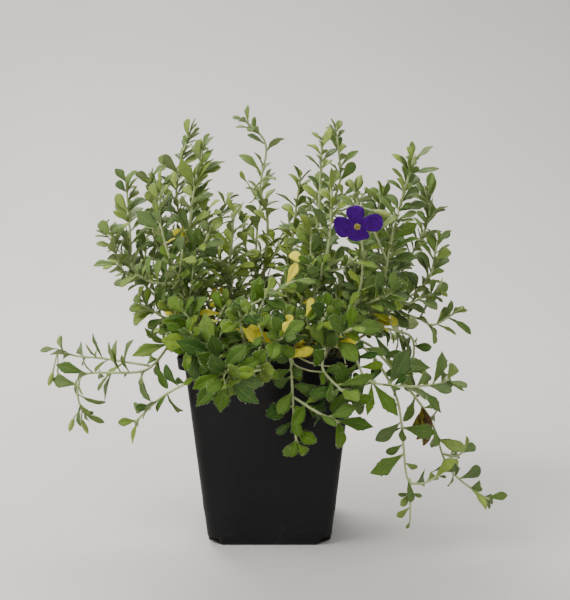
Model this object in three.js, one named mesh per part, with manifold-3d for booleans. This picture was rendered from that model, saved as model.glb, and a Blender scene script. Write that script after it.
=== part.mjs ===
// A young aubrieta in a square nursery pot: tapered black pot with a lip and four drained corners,
// potting soil, leafy shoots that stand in holes in the soil, and one violet flower with its yellow eye.
// Millimetres, +Z up. The origin is the middle of the pot's base; -Y is the side with the flower.
import * as THREE from "three";
import { mergeVertices } from "three/addons/utils/BufferGeometryUtils.js";
import Module from "manifold-3d";

const wasm = await Module();
wasm.setup();

// Pot: half widths of its square outline at the heights where the wall bends.
const POT_HEIGHT = 101;
const LIP_HEIGHT = 6.5;
const LIP_HALF_TOP = 45.5;
const LIP_HALF_BOTTOM = 44.9;
const WALL_HALF_TOP = 41.9;
const KNEE_HEIGHT = 17;
const KNEE_HALF = 33.7;
const FOOT_HEIGHT = 4;
const FOOT_HALF = 32.2;
const BASE_HALF = 31.7;
const WALL = 1.3;
const CORNER_ROUND = 5;
const CORNER_STEPS = 3;
const NOTCH_LEG = 9;
const FIT = 0.3;

// Soil: highest in the middle, crumbly on top.
const SOIL_EDGE = 92.5;
const SOIL_CROWN = 95.5;
const SOIL_CRUMB = 0.8;
const SOIL_RINGS = [1, 0.94];
const HOLE_DEPTH = 6;
const HOLE_EASE = 0.4;

// Stems and leaves.
const ROOT_TOP = 97.5;
const ROOT_END = 90;
const STEM_BASE_R = 1.1;
const STEM_TIP_R = 0.7;
const SIDE_BASE_R = 0.9;
const STEM_SIDES = 3;
const SIDE_SIDES = 3;
const STEM_STEP = 30;
const STEM_SAG = 0.9;
const PATH_STEPS = 10;
const GOLDEN_TURN = 137.5;
const RIB_THICK = 1;
const ROOT_THICK = 0.6;
const NARROW_SHARE = 0.16;
const LEAF_GROWTH = 1.16;
const LIFT = 0.22;
const TO_LIGHT = [-0.12, -0.45, 0.45];

// Outlines: how far along the blade, and the half width there as a share of the widest.
// After it, how far along the rib's own points are.
const TOOTHED = [[[0.36, 0.42], [0.66, 1], [0.75, 0.68]], [0, 0.52]];
const PLAIN = [[[0.42, 0.82], [0.78, 0.86]], [0, 0.58]];
const SMALL = [[[0.6, 1]], [0, 0.5]];
const PETAL = [[[0.3, 0.42], [0.58, 0.98], [0.82, 0.96], [0.95, 0.6]], [0, 0.3, 0.62]];
// The leaf forms, each for leaves over a length: the large ones are toothed.
const FORMS = [[16.5, TOOTHED], [12.2, PLAIN], [0, SMALL]];

// Clearances between the points that stand for blades and stems.
const CROWD_CELL = 3;
const CROWD_STEP = 1.9;
const CLEAR_OTHER = 2.1;
const CLEAR_OWN_LEAF = 1.6;
const CLEAR_OWN_STEM = 0.7;
const STEM_CLEAR = 3.1;
const BOWS = [0, 4, -4, 8, -8, 12, -12, 16, -16];
// What a crowded leaf tries in turn: turned round the stem, tipped away from it, and its size.
const BENDS = [
  [0, 0, 1], [22, 0, 1], [-22, 0, 1], [0, -14, 1], [0, 16, 1], [45, -8, 0.94], [-45, -8, 0.94],
  [70, 8, 0.88], [-70, 8, 0.88], [100, 0, 0.8], [-100, 0, 0.8], [140, -6, 0.74], [180, 0, 0.7],
];

const black = new THREE.MeshStandardMaterial({ color: 0x1d1d20, roughness: 0.55, metalness: 0 });
const brown = new THREE.MeshStandardMaterial({ color: 0x3a281b, roughness: 0.95, metalness: 0 });
const green = new THREE.MeshStandardMaterial({ color: 0x4f7030, roughness: 0.75, metalness: 0 });
const violet = new THREE.MeshStandardMaterial({ color: 0x35108a, roughness: 0.6, metalness: 0 });
const yellow = new THREE.MeshStandardMaterial({ color: 0xb8a23c, roughness: 0.7, metalness: 0 });

// Every shoot: where it stands in the soil, the points that its stem passes, how many leaves it tries
// to bear and the size of the largest, the share of the stem that is bare, and how far the first leaf
// is turned round it. A side shoot leaves its stem at a share of the stem's length.
const SHOOTS = [
  {
    name: "left_shoot_1",
    root: [-27, 9],
    way: [[-40, 12, 140], [-48, 10, 167], [-48, 6, 187]],
    tip: [-41, 4, 210],
    leaves: 8, size: 13, bare: 0.34, turn: 200,
    sides: [{ at: 0.55, way: [], tip: [-62, 22, 158], leaves: 4, size: 11, turn: 30 }],
  },
  {
    name: "left_shoot_2",
    root: [-22, -3],
    way: [[-39, -10, 132], [-41, -14, 156], [-38, -15, 178]],
    tip: [-33, -14, 203],
    leaves: 10, size: 15, bare: 0.3, turn: 70,
    sides: [{ at: 0.5, way: [], tip: [-30, -24, 160], leaves: 4, size: 12, turn: 10 }],
  },
  {
    name: "left_shoot_3",
    root: [-34, -5],
    way: [[-49, -8, 120], [-62, -6, 128], [-72, -2, 145], [-72, 0, 162]],
    tip: [-74, 0, 184],
    leaves: 8, size: 13, bare: 0.3, turn: 150,
    sides: [{ at: 0.46, way: [[-76, -10, 140]], tip: [-80, -12, 157], leaves: 5, size: 14, turn: 160 }],
  },
  {
    name: "left_shoot_4",
    root: [-28, 2],
    way: [[-44, 4, 128], [-60, 2, 154], [-58, 0, 169]],
    tip: [-61, -4, 186],
    leaves: 7, size: 12, bare: 0.36, turn: 20,
    sides: [],
  },
  {
    name: "left_shoot_5",
    root: [-26, -14],
    way: [[-44, -22, 132], [-53, -24, 160], [-55, -22, 172]],
    tip: [-53, -20, 184],
    leaves: 7, size: 13, bare: 0.3, turn: 300,
    sides: [{ at: 0.45, way: [], tip: [-66, -28, 140], leaves: 4, size: 11, turn: 80 }],
  },
  {
    name: "left_shoot_6",
    root: [-14, 16],
    way: [[-24, 26, 130], [-30, 28, 154]],
    tip: [-23, 27, 173],
    leaves: 7, size: 12, bare: 0.34, turn: 40,
    sides: [],
  },
  {
    name: "left_shoot_7",
    root: [-14, 3],
    way: [[-22, 6, 125], [-20, 6, 150]],
    tip: [-19, 4, 168],
    leaves: 7, size: 13, bare: 0.3, turn: 250,
    sides: [{ at: 0.6, way: [], tip: [-34, 2, 150], leaves: 3, size: 11, turn: 0 }],
  },
  {
    name: "left_shoot_8",
    root: [-35, -15],
    way: [[-46, -20, 112]],
    tip: [-65, -22, 124],
    leaves: 5, size: 13, bare: 0.35, turn: 90,
    sides: [],
  },
  {
    name: "left_shoot_9",
    root: [-32, 17],
    way: [[-48, 24, 118], [-62, 26, 140]],
    tip: [-61, 24, 158],
    leaves: 7, size: 12, bare: 0.32, turn: 10,
    sides: [{ at: 0.55, way: [], tip: [-76, 34, 134], leaves: 4, size: 11, turn: 110 }],
  },
  {
    name: "middle_shoot_1",
    root: [-5, 11],
    way: [[-4, 14, 130], [-1, 16, 162], [-5, 14, 178], [-4, 12, 191], [-2, 10, 203]],
    tip: [-13, 8, 216],
    leaves: 9, size: 12, bare: 0.3, turn: 180,
    sides: [],
  },
  {
    name: "middle_shoot_2",
    root: [3, 19],
    way: [[-6, 26, 128], [-14, 30, 148]],
    tip: [-14, 30, 163],
    leaves: 6, size: 10, bare: 0.36, turn: 60,
    sides: [{ at: 0.5, way: [], tip: [6, 36, 150], leaves: 4, size: 10, turn: 200 }],
  },
  {
    name: "middle_shoot_3",
    root: [6, 4],
    way: [[10, 8, 128], [12, 10, 154], [14, 10, 170]],
    tip: [16, 9, 187],
    leaves: 8, size: 11, bare: 0.36, turn: 160,
    sides: [],
  },
  {
    name: "middle_shoot_4",
    root: [13, -4],
    way: [[20, -6, 128], [24, -6, 156], [26, -4, 176], [26, -2, 192]],
    tip: [27, 0, 205],
    leaves: 10, size: 13, bare: 0.3, turn: 120,
    sides: [{ at: 0.5, way: [], tip: [14, -14, 160], leaves: 4, size: 12, turn: 60 }],
  },
  {
    name: "middle_shoot_5",
    root: [19, 8],
    way: [[24, 12, 130], [29, 14, 162], [36, 10, 180], [37, 8, 194]],
    tip: [34, 6, 211],
    leaves: 8, size: 12, bare: 0.36, turn: 330,
    sides: [{ at: 0.6, way: [], tip: [50, 20, 176], leaves: 3, size: 11, turn: 0 }],
  },
  {
    name: "middle_shoot_6",
    root: [-10, -17],
    way: [[-15, -34, 119], [-3, -42, 130]],
    tip: [12, -44, 139],
    leaves: 7, size: 15, bare: 0.3, turn: 30,
    sides: [],
  },
  {
    name: "middle_shoot_7",
    root: [8, -11],
    way: [[17, -20, 126], [21, -22, 148]],
    tip: [21, -20, 165],
    leaves: 8, size: 14, bare: 0.3, turn: 100,
    sides: [],
  },
  {
    name: "middle_shoot_8",
    root: [17, -14],
    way: [[24, -24, 132], [30, -28, 156]],
    tip: [31, -26, 184],
    leaves: 9, size: 14, bare: 0.28, turn: 215,
    sides: [{ at: 0.52, way: [], tip: [44, -34, 150], leaves: 3, size: 12, turn: 0 }],
  },
  {
    name: "flowering_shoot",
    root: [28, -20],
    way: [[41, -29, 120], [46, -33, 140], [46, -33, 160]],
    tip: [42, -34, 183],
    leaves: 8, size: 12, bare: 0.3, turn: 45, flower: true,
    sides: [],
  },
  {
    name: "right_shoot_1",
    root: [30, -8],
    way: [[54, -14, 122], [59, -14, 138], [64, -12, 166], [69, -11, 182]],
    tip: [73, -10, 197],
    leaves: 10, size: 15, bare: 0.26, turn: 130,
    sides: [{ at: 0.52, way: [], tip: [50, -18, 168], leaves: 4, size: 12, turn: 40 }],
  },
  {
    name: "right_shoot_2",
    root: [32, 14],
    way: [[60, 22, 126], [78, 22, 146], [85, 18, 166]],
    tip: [82, 15, 181],
    leaves: 8, size: 13, bare: 0.34, turn: 80,
    sides: [{ at: 0.5, way: [], tip: [62, 32, 164], leaves: 4, size: 12, turn: 210 }],
  },
  {
    name: "right_shoot_3",
    root: [36, 3],
    way: [[58, 6, 117], [72, 6, 123], [84, 6, 134]],
    tip: [88, 5, 153],
    leaves: 8, size: 13, bare: 0.28, turn: 20,
    sides: [],
  },
  {
    name: "right_shoot_4",
    root: [37, -6],
    way: [[56, -16, 114]],
    tip: [86, -10, 128],
    leaves: 6, size: 14, bare: 0.34, turn: 60,
    sides: [],
  },
  {
    name: "right_shoot_5",
    root: [35, 20],
    way: [[54, 18, 110], [74, 16, 112], [88, 12, 107]],
    tip: [99, 10, 114],
    leaves: 7, size: 12, bare: 0.42, turn: 100,
    sides: [],
  },
  {
    name: "right_shoot_6",
    root: [25, 2],
    way: [[38, 2, 126], [52, 2, 150]],
    tip: [58, 0, 176],
    leaves: 8, size: 13, bare: 0.32, turn: 280,
    sides: [],
  },
  {
    name: "right_shoot_7",
    root: [37, -14],
    way: [[54, -26, 110], [72, -22, 106], [75, -20, 96]],
    tip: [71, -20, 86],
    leaves: 6, size: 13, bare: 0.34, turn: 10,
    sides: [],
  },
  {
    name: "right_shoot_8",
    root: [24, -13],
    way: [[38, -26, 118]],
    tip: [60, -38, 132],
    leaves: 7, size: 14, bare: 0.3, turn: 180,
    sides: [],
  },
  {
    name: "trailing_right_1",
    root: [33, -36],
    way: [[37, -43, 106], [42, -49, 103], [48, -52, 92], [62, -52, 89], [76, -50, 88]],
    tip: [88, -48, 91],
    leaves: 8, size: 15, bare: 0.3, turn: 60, broad: true,
    sides: [{ at: 0.5, way: [], tip: [33, -57, 88], leaves: 4, size: 14, turn: 30 }],
  },
  {
    name: "trailing_right_2",
    root: [38, -31],
    way: [
      [42, -35, 105.5], [50, -42, 103], [60, -44, 88], [65, -42, 74],
      [67, -42, 56], [69, -42, 40], [77, -42, 36],
    ],
    tip: [88, -40, 42],
    leaves: 5, size: 16, bare: 0.56, turn: 20,
    sides: [{ at: 0.82, way: [], tip: [71, -43, 17], leaves: 2, size: 7, turn: 0 }],
  },
  {
    name: "trailing_right_3",
    root: [37, -24],
    way: [
      [42, -27, 106], [53, -33, 103], [68, -34, 84], [80, -33, 70],
      [86, -34, 54], [91, -35, 42], [103, -36, 31],
    ],
    tip: [112, -36, 26],
    leaves: 8, size: 14, bare: 0.44, turn: 140,
    sides: [{ at: 0.72, way: [], tip: [98, -38, 52], leaves: 3, size: 11, turn: 90 }],
  },
  {
    name: "hanging_shoot_1",
    root: [9, -32],
    way: [[9, -49, 105], [12, -53, 94], [11, -54, 82]],
    tip: [14, -55, 60],
    leaves: 8, size: 11.5, bare: 0.24, turn: 80, broad: true,
    sides: [{ at: 0.62, way: [[22, -57, 78]], tip: [34, -57, 72], leaves: 5, size: 16, turn: 120 }],
  },
  {
    name: "rosette_shoot_1",
    root: [-18, -30],
    way: [[-26, -47, 106]],
    tip: [-20, -62, 96],
    leaves: 15, size: 16, bare: 0.6, turn: 15, rosette: true,
    sides: [],
  },
  {
    name: "rosette_shoot_2",
    root: [-9, -30],
    way: [[-13, -40, 112]],
    tip: [-13, -49, 121],
    leaves: 8, size: 13, bare: 0.45, turn: 60, rosette: true,
    sides: [],
  },
  {
    name: "front_shoot_1",
    root: [-31, -28],
    way: [[-34, -42, 108]],
    tip: [-37, -54, 106],
    leaves: 6, size: 14, bare: 0.4, turn: 200, broad: true,
    sides: [],
  },
  {
    name: "front_shoot_2",
    root: [18, -34],
    way: [[27, -48, 106], [27, -56, 96]],
    tip: [40, -60, 84],
    leaves: 7, size: 16, bare: 0.35, turn: 300, broad: true,
    sides: [],
  },
  {
    name: "front_shoot_3",
    root: [27, -34],
    way: [[32, -46, 110]],
    tip: [40, -56, 118],
    leaves: 7, size: 15, bare: 0.34, turn: 0, broad: true,
    sides: [],
  },
  {
    name: "trailing_left_1",
    root: [-37, 4],
    way: [
      [-42, 3, 105.5], [-50, 0, 103], [-56, -4, 94], [-65, -8, 87],
      [-77, -9, 85], [-88, -9, 86], [-97, -9, 84], [-101, -9, 73],
    ],
    tip: [-96, -9, 62],
    leaves: 11, size: 15, bare: 0.24, turn: 100,
    sides: [
      { at: 0.4, way: [[-84, 0, 91], [-99, 2, 91]], tip: [-113, 2, 96], leaves: 6, size: 13, turn: 30 },
    ],
  },
  {
    name: "trailing_left_2",
    root: [-26, -36],
    way: [[-33, -50, 105], [-35, -53, 93], [-47, -50, 86], [-58, -47, 77]],
    tip: [-66, -46, 69],
    leaves: 7, size: 14, bare: 0.4, turn: 50,
    sides: [],
  },
  {
    name: "back_shoot_1",
    root: [-20, 26],
    way: [[-32, 42, 122], [-40, 52, 148]],
    tip: [-40, 54, 176],
    leaves: 7, size: 13, bare: 0.32, turn: 90,
    sides: [{ at: 0.5, way: [], tip: [-56, 54, 148], leaves: 4, size: 12, turn: 0 }],
  },
  {
    name: "back_shoot_2",
    root: [-4, 28],
    way: [[-8, 44, 126], [-8, 56, 152]],
    tip: [-4, 58, 182],
    leaves: 8, size: 13, bare: 0.3, turn: 10,
    sides: [{ at: 0.5, way: [], tip: [10, 62, 156], leaves: 4, size: 12, turn: 0 }],
  },
  {
    name: "back_shoot_3",
    root: [12, 26],
    way: [[20, 38, 124], [26, 48, 150]],
    tip: [28, 50, 178],
    leaves: 8, size: 13, bare: 0.32, turn: 140,
    sides: [],
  },
  {
    name: "back_shoot_4",
    root: [27, 28],
    way: [[44, 42, 122], [54, 50, 144]],
    tip: [56, 52, 168],
    leaves: 6, size: 13, bare: 0.32, turn: 220,
    sides: [{ at: 0.5, way: [], tip: [70, 44, 144], leaves: 4, size: 12, turn: 0 }],
  },
  {
    name: "back_shoot_5",
    root: [-30, 32],
    way: [[-40, 52, 108], [-52, 68, 102]],
    tip: [-64, 76, 92],
    leaves: 7, size: 14, bare: 0.32, turn: 60,
    sides: [],
  },
  {
    name: "back_shoot_6",
    root: [4, 36],
    way: [[4, 56, 110], [8, 74, 116]],
    tip: [12, 88, 108],
    leaves: 7, size: 14, bare: 0.32, turn: 30,
    sides: [],
  },
  {
    name: "back_shoot_7",
    root: [34, 35],
    way: [[50, 52, 108], [64, 66, 104]],
    tip: [76, 74, 88],
    leaves: 7, size: 14, bare: 0.32, turn: 170,
    sides: [],
  },
  {
    name: "back_shoot_8",
    root: [-12, 36],
    way: [[-16, 52, 112], [-20, 66, 128]],
    tip: [-24, 74, 146],
    leaves: 7, size: 13, bare: 0.32, turn: 130,
    sides: [],
  },
  {
    name: "front_shoot_4",
    root: [2, -37],
    way: [[2, -49, 107]],
    tip: [7, -56, 114],
    leaves: 7, size: 14, bare: 0.4, turn: 40, broad: true,
    sides: [],
  },
  {
    name: "rosette_shoot_3",
    root: [-4, -31],
    way: [[-4, -48, 108]],
    tip: [-5, -57, 99],
    leaves: 8, size: 13, bare: 0.5, turn: 100, rosette: true,
    sides: [],
  },
  {
    name: "front_shoot_5",
    root: [17, -26],
    way: [[23, -40, 113]],
    tip: [29, -47, 125],
    leaves: 7, size: 14, bare: 0.34, turn: 250, broad: true,
    sides: [],
  },
  {
    name: "front_shoot_6",
    root: [-27, -21],
    way: [[-34, -34, 111]],
    tip: [-41, -42, 123],
    leaves: 7, size: 14, bare: 0.34, turn: 330, broad: true,
    sides: [],
  },
];

// The flower: where its middle is, the way it faces, and its petals.
const FLOWER = {
  at: [42.5, -50, 167],
  facing: [-0.08, -0.86, -0.5],
  petal: 12,
  stalkAt: 0.8,
  stalkWay: [45, -40, 176],
};
// Each petal: how far it is turned, its length and its half width. The lowest is the shortest.
const PETALS = [[10, 12, 5], [98, 10.8, 4.2], [190, 11.6, 6.1], [275, 9.4, 4.9]];
const PETAL_CURL = 0.35;
const PETAL_FOLD = 0.06;
const PETAL_THICK = 0.9;
const DISC_R = 2.6;
const EYE_R = 1.9;
const EYE_HEIGHT = 1.6;
const STALK_R = 0.65;
const CALYX_R = 2.1;
const CALYX_LENGTH = 7;
const BUD_WAYS = [[-0.4, -0.35, 0.85], [0.25, -0.15, 0.95]];
const BUD_LENGTH = 9;
const BUD_R = 1.5;
const LONG_BUD_WAY = [0.93, -0.2, -0.22];
const LONG_BUD_LENGTH = 15;

const add = (a, b) => [a[0] + b[0], a[1] + b[1], a[2] + b[2]];
const less = (a, b) => [a[0] - b[0], a[1] - b[1], a[2] - b[2]];
const times = (a, k) => [a[0] * k, a[1] * k, a[2] * k];
const dot = (a, b) => a[0] * b[0] + a[1] * b[1] + a[2] * b[2];
const cross = (a, b) => [a[1] * b[2] - a[2] * b[1], a[2] * b[0] - a[0] * b[2], a[0] * b[1] - a[1] * b[0]];
const size = (a) => Math.sqrt(dot(a, a));
const unit = (a) => times(a, 1 / size(a));
const radians = (degrees) => (degrees * Math.PI) / 180;

// A repeatable number from 0 to 1 for each shoot, leaf and use.
function chance(shoot, leaf, use) {
  let n = (shoot * 7919 + leaf * 104729 + use * 15485863 + 17) >>> 0;
  n = Math.imul(n ^ (n >>> 15), 2246822519) >>> 0;
  n = Math.imul(n ^ (n >>> 13), 3266489917) >>> 0;
  return ((n ^ (n >>> 16)) >>> 0) / 4294967296;
}

// A smooth line through the points, as short steps with the distance run at each.
function pathThrough(points) {
  const last = points.length - 1;
  const at = (i) => {
    if (i < 0) return less(times(points[0], 2), points[1]);
    if (i > last) return less(times(points[last], 2), points[last - 1]);
    return points[i];
  };
  const line = [];
  for (let i = 0; i < last; i++) {
    for (let k = 0; k < PATH_STEPS; k++) {
      const t = k / PATH_STEPS;
      const [a, b, c, d] = [at(i - 1), at(i), at(i + 1), at(i + 2)];
      line.push([0, 1, 2].map((n) => {
        const out = (c[n] - a[n]) / 2;
        const into = (d[n] - b[n]) / 2;
        const square = 3 * (c[n] - b[n]) - 2 * out - into;
        const cube = 2 * (b[n] - c[n]) + out + into;
        return b[n] + out * t + square * t * t + cube * t * t * t;
      }));
    }
  }
  line.push(points[last]);
  const run = [0];
  for (let i = 1; i < line.length; i++) run.push(run[i - 1] + size(less(line[i], line[i - 1])));
  return { line, run, length: run[run.length - 1] };
}

// The same line with few points: as long steps as its bends allow.
function coarsePath(path) {
  const kept = [0];
  for (let i = 2; i < path.line.length; i++) {
    const from = kept[kept.length - 1];
    const chord = less(path.line[i], path.line[from]);
    const across = (p) => size(cross(less(p, path.line[from]), unit(chord)));
    const bent = path.line.slice(from + 1, i).some((p) => across(p) > STEM_SAG);
    if (bent || size(chord) > STEM_STEP) kept.push(i - 1);
  }
  kept.push(path.line.length - 1);
  const line = kept.map((i) => path.line[i]);
  const run = [0];
  for (let i = 1; i < line.length; i++) run.push(run[i - 1] + size(less(line[i], line[i - 1])));
  return { line, run, length: run[run.length - 1] };
}

// The point and direction at a distance along a path.
function spotOn(path, distance) {
  let i = 1;
  while (i < path.line.length - 1 && path.run[i] < distance) i++;
  const step = less(path.line[i], path.line[i - 1]);
  const share = (distance - path.run[i - 1]) / (path.run[i] - path.run[i - 1]);
  return { point: add(path.line[i - 1], times(step, share)), direction: unit(step) };
}

// Points already taken by stems and blades, in cells, so that what grows later keeps clear of them.
const crowd = new Map();
const cellOf = (p) => p.map((v) => Math.floor(v / CROWD_CELL));
const keyOf = (c) => c.join();
function settle(points, owner, clearOwn) {
  for (const p of points) {
    const key = keyOf(cellOf(p));
    if (!crowd.has(key)) crowd.set(key, []);
    crowd.get(key).push([p, owner, clearOwn]);
  }
}
function isCrowded(p, owner, clearOther) {
  const [x, y, z] = cellOf(p);
  const reach = Math.ceil(clearOther / CROWD_CELL);
  for (let i = -reach; i <= reach; i++) {
    for (let j = -reach; j <= reach; j++) {
      for (let k = -reach; k <= reach; k++) {
        for (const [q, other, clearOwn] of crowd.get(keyOf([x + i, y + j, z + k])) || []) {
          if (size(less(p, q)) < (other === owner ? clearOwn : clearOther)) return true;
        }
      }
    }
  }
  return false;
}

// Half width of the pot's outside at a height.
function potHalf(z) {
  if (z > POT_HEIGHT - LIP_HEIGHT) return LIP_HALF_TOP;
  if (z > KNEE_HEIGHT) {
    const share = (z - KNEE_HEIGHT) / (POT_HEIGHT - LIP_HEIGHT - KNEE_HEIGHT);
    return KNEE_HALF + (WALL_HALF_TOP - KNEE_HALF) * share;
  }
  return FOOT_HALF + ((KNEE_HALF - FOOT_HALF) * (z - FOOT_HEIGHT)) / (KNEE_HEIGHT - FOOT_HEIGHT);
}

// True where a leaf would touch the pot, the soil or the ground.
function meetsPot(p) {
  const out = Math.max(Math.abs(p[0]), Math.abs(p[1]));
  const above = p[2] - POT_HEIGHT;
  if (p[2] < 3) return true;
  if (out < LIP_HALF_TOP - WALL - 2.5) return p[2] < SOIL_CROWN + 2;
  return above < 1.8 && out < potHalf(p[2]) + 1.8;
}

// A stem's path. If it would brush an earlier stem on its way, it bows to the back or the front.
function stemPath(start, way, tip, owner, freeFrom) {
  let best = null;
  for (const bow of BOWS) {
    const points = [start, ...way, tip].map((p, i, all) => {
      const share = i / (all.length - 1);
      return [p[0], p[1] + bow * Math.sin(Math.PI * share), p[2]];
    });
    if (!way.length) {
      const middle = times(add(start, tip), 0.5);
      points.splice(1, 0, [middle[0], middle[1] + bow * 0.6, middle[2] - 2.5]);
    }
    const path = coarsePath(pathThrough(points));
    const beyond = stemPoints(path, 1).slice(freeFrom + 1);
    const clashes = beyond.filter((p) => meetsPot(p) || isCrowded(p, owner, STEM_CLEAR)).length;
    if (!best || clashes < best.clashes) best = { path, clashes };
    if (!clashes) break;
  }
  return best.path;
}

// Points every so often along a path, for the crowd.
function stemPoints(path, step) {
  const points = [];
  for (let d = 0; d < path.length; d += step) points.push(spotOn(path, d).point);
  return points;
}

// A blade's place: root, the way it points, its upper side, length, half width, and how it curls and folds.
function bladeAt(spot, turn, splay, lift, { length, half, curl, fold, glance }) {
  const reference = Math.abs(spot.direction[1]) > 0.85 ? [1, 0, 0] : [0, 1, 0];
  const a = unit(cross(spot.direction, reference));
  const b = cross(spot.direction, a);
  const outward = add(times(a, Math.cos(radians(turn))), times(b, Math.sin(radians(turn))));
  const lean = add(times(spot.direction, Math.cos(radians(splay))), times(outward, Math.sin(radians(splay))));
  const along = unit(add(lean, [0, 0, lift]));
  const away = unit([spot.point[0], spot.point[1], 0.1]);
  const face = add(times(spot.direction, 0.4), add(times(away, 0.4 + glance), TO_LIGHT));
  const up = unit(less(face, times(along, dot(face, along))));
  return { root: spot.point, along, up, length, half, curl, fold };
}

// A point of a blade: a share of the way along it, and a distance to its side.
function bladePoint(blade, share, aside, raise = 0) {
  const angle = blade.curl * share;
  const side = cross(blade.along, blade.up);
  const normal = add(times(blade.up, Math.cos(angle)), times(blade.along, Math.sin(angle)));
  const forward = (Math.sin(angle) / blade.curl) * blade.length;
  const drop = ((1 - Math.cos(angle)) / blade.curl) * blade.length;
  const rib = add(blade.root, add(times(blade.along, forward), times(blade.up, -drop)));
  const risen = Math.abs(aside) * Math.sin(blade.fold) + raise;
  return add(rib, add(times(side, aside * Math.cos(blade.fold)), times(normal, risen)));
}

// Points that stand for a blade in the crowd.
function bladePoints(blade) {
  const points = [];
  const rows = Math.ceil((blade.length * 0.75) / CROWD_STEP);
  for (let row = 0; row <= rows; row++) {
    const share = 0.25 + (0.75 * row) / rows;
    const width = blade.half * Math.min(1, (share - 0.05) * 1.8, (1 - share) * 4);
    const columns = Math.max(1, Math.ceil(width / CROWD_STEP));
    for (let i = -columns; i <= columns; i++) points.push(bladePoint(blade, share, (width * i) / columns));
  }
  return points;
}

// The leaves of one stem, from the lowest to the tip. A crowded leaf bends clear or is left out.
function growLeaves(path, plan, owner, id) {
  const leaves = [];
  for (let i = 0; i < plan.leaves; i++) {
    const u = i / (plan.leaves - 1);
    const start = plan.bare ?? 0.3;
    const distance = path.length * Math.min(start + (1 - start) * (1 - Math.pow(1 - u, 1.5)), 0.985);
    const spot = spotOn(path, distance);
    const young = Math.max(0, (u - 0.65) / 0.35);
    const full = 0.82 + 0.18 * Math.sin(Math.PI * Math.min(1, u * 1.3)) - 0.2 * young;
    const grown = plan.rosette ? 1 - 0.3 * young * young : full;
    const length = plan.size * LEAF_GROWTH * grown * (0.9 + 0.3 * chance(id, i, 1));
    const narrow = !plan.rosette && chance(id, i, 2) < NARROW_SHARE;
    const broad = plan.rosette ? 0.03 : plan.broad ? 0.04 : 0;
    const half = length * (narrow ? 0.15 : 0.19 + broad + 0.05 * chance(id, i, 3));
    const spread = plan.rosette ? 86 - 40 * u * u : 60 - 30 * u * u;
    const splay = spread + 16 * (chance(id, i, 4) - 0.5);
    const turn = plan.turn + i * GOLDEN_TURN + 30 * (chance(id, i, 5) - 0.5);
    const curl = 0.2 + 0.7 * chance(id, i, 6);
    const fold = 0.14 + 0.3 * chance(id, i, 7);
    const glance = 0.9 * (chance(id, i, 8) - 0.4);
    for (const [turned, tipped, share] of BENDS) {
      const form = { length: length * share, half: half * share, curl, fold, glance };
      const blade = bladeAt(spot, turn + turned, splay + tipped, LIFT, form);
      const points = bladePoints(blade);
      if (points.some((p) => meetsPot(p) || isCrowded(p, owner, CLEAR_OTHER))) continue;
      settle(points, owner, CLEAR_OWN_LEAF);
      leaves.push(blade);
      break;
    }
  }
  return leaves;
}

// All shoots: first every stem, so that no leaf grows across one, and then the leaves.
function growPlant() {
  const plants = SHOOTS.map((plan, owner) => {
    const foot = [plan.root[0], plan.root[1], ROOT_TOP];
    const main = stemPath(foot, plan.way, plan.tip, owner, 6);
    settle(stemPoints(main, 1.5), owner, 0);
    return { plan, owner, foot, main, sides: [], leaves: [] };
  });
  for (const plant of plants) {
    for (const side of plant.plan.sides) {
      const start = spotOn(plant.main, plant.main.length * side.at).point;
      const path = stemPath(start, side.way, side.tip, plant.owner, 4);
      settle(stemPoints(path, 1.5), plant.owner, CLEAR_OWN_STEM);
      plant.sides.push({ plan: side, path });
    }
  }
  const flowering = plants.find((p) => p.plan.flower);
  settle(flowerPoints(), flowering.owner, CLEAR_OTHER);
  for (const plant of plants) {
    const { owner, leaves } = plant;
    leaves.push(...growLeaves(plant.main, plant.plan, owner, owner * 4));
    for (const [k, side] of plant.sides.entries()) {
      leaves.push(...growLeaves(side.path, side.plan, owner, owner * 4 + k + 1));
    }
  }
  return plants;
}

// The flower's own frame: the way it faces, and its up and right.
function flowerFrame() {
  const facing = unit(FLOWER.facing);
  const right = unit(cross([0, 0, 1], facing));
  return { facing, right, up: cross(facing, right) };
}

// Points that stand for the flower, so that leaves keep clear of it.
function flowerPoints() {
  const { facing, right, up } = flowerFrame();
  const points = [];
  for (let r = 0; r <= FLOWER.petal; r += 2) {
    for (let a = 0; a < 360; a += 30) {
      const out = add(times(right, r * Math.cos(radians(a))), times(up, r * Math.sin(radians(a))));
      for (const lift of [-2, 1, 4]) points.push(add(add(FLOWER.at, out), times(facing, lift)));
    }
  }
  const alongBud = unit(LONG_BUD_WAY);
  for (let d = 1; d <= LONG_BUD_LENGTH; d += 2) points.push(add(FLOWER.stalkWay, times(alongBud, d)));
  return points;
}

// A closed geometry from corner points and triangles.
function geometryOf(points, triangles) {
  const geometry = new THREE.BufferGeometry();
  geometry.setAttribute("position", new THREE.Float32BufferAttribute(points.flat(), 3));
  geometry.setIndex(triangles);
  return geometry;
}

// A closed geometry through rings of equally many points, with a flat fan on the first and the last.
function loft(rings) {
  const n = rings[0].length;
  const points = rings.flat();
  const triangles = [];
  rings.slice(1).forEach((ring, r) => {
    for (let i = 0; i < n; i++) {
      const [a, b] = [r * n + i, r * n + ((i + 1) % n)];
      triangles.push(a, b, b + n, a, b + n, a + n);
    }
  });
  const close = (offset, turned) => {
    for (let i = 1; i < n - 1; i++) {
      const face = [offset, offset + i, offset + i + 1];
      triangles.push(...(turned ? face.reverse() : face));
    }
  };
  close(0, true);
  close((rings.length - 1) * n, false);
  return geometryOf(points, triangles);
}

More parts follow.
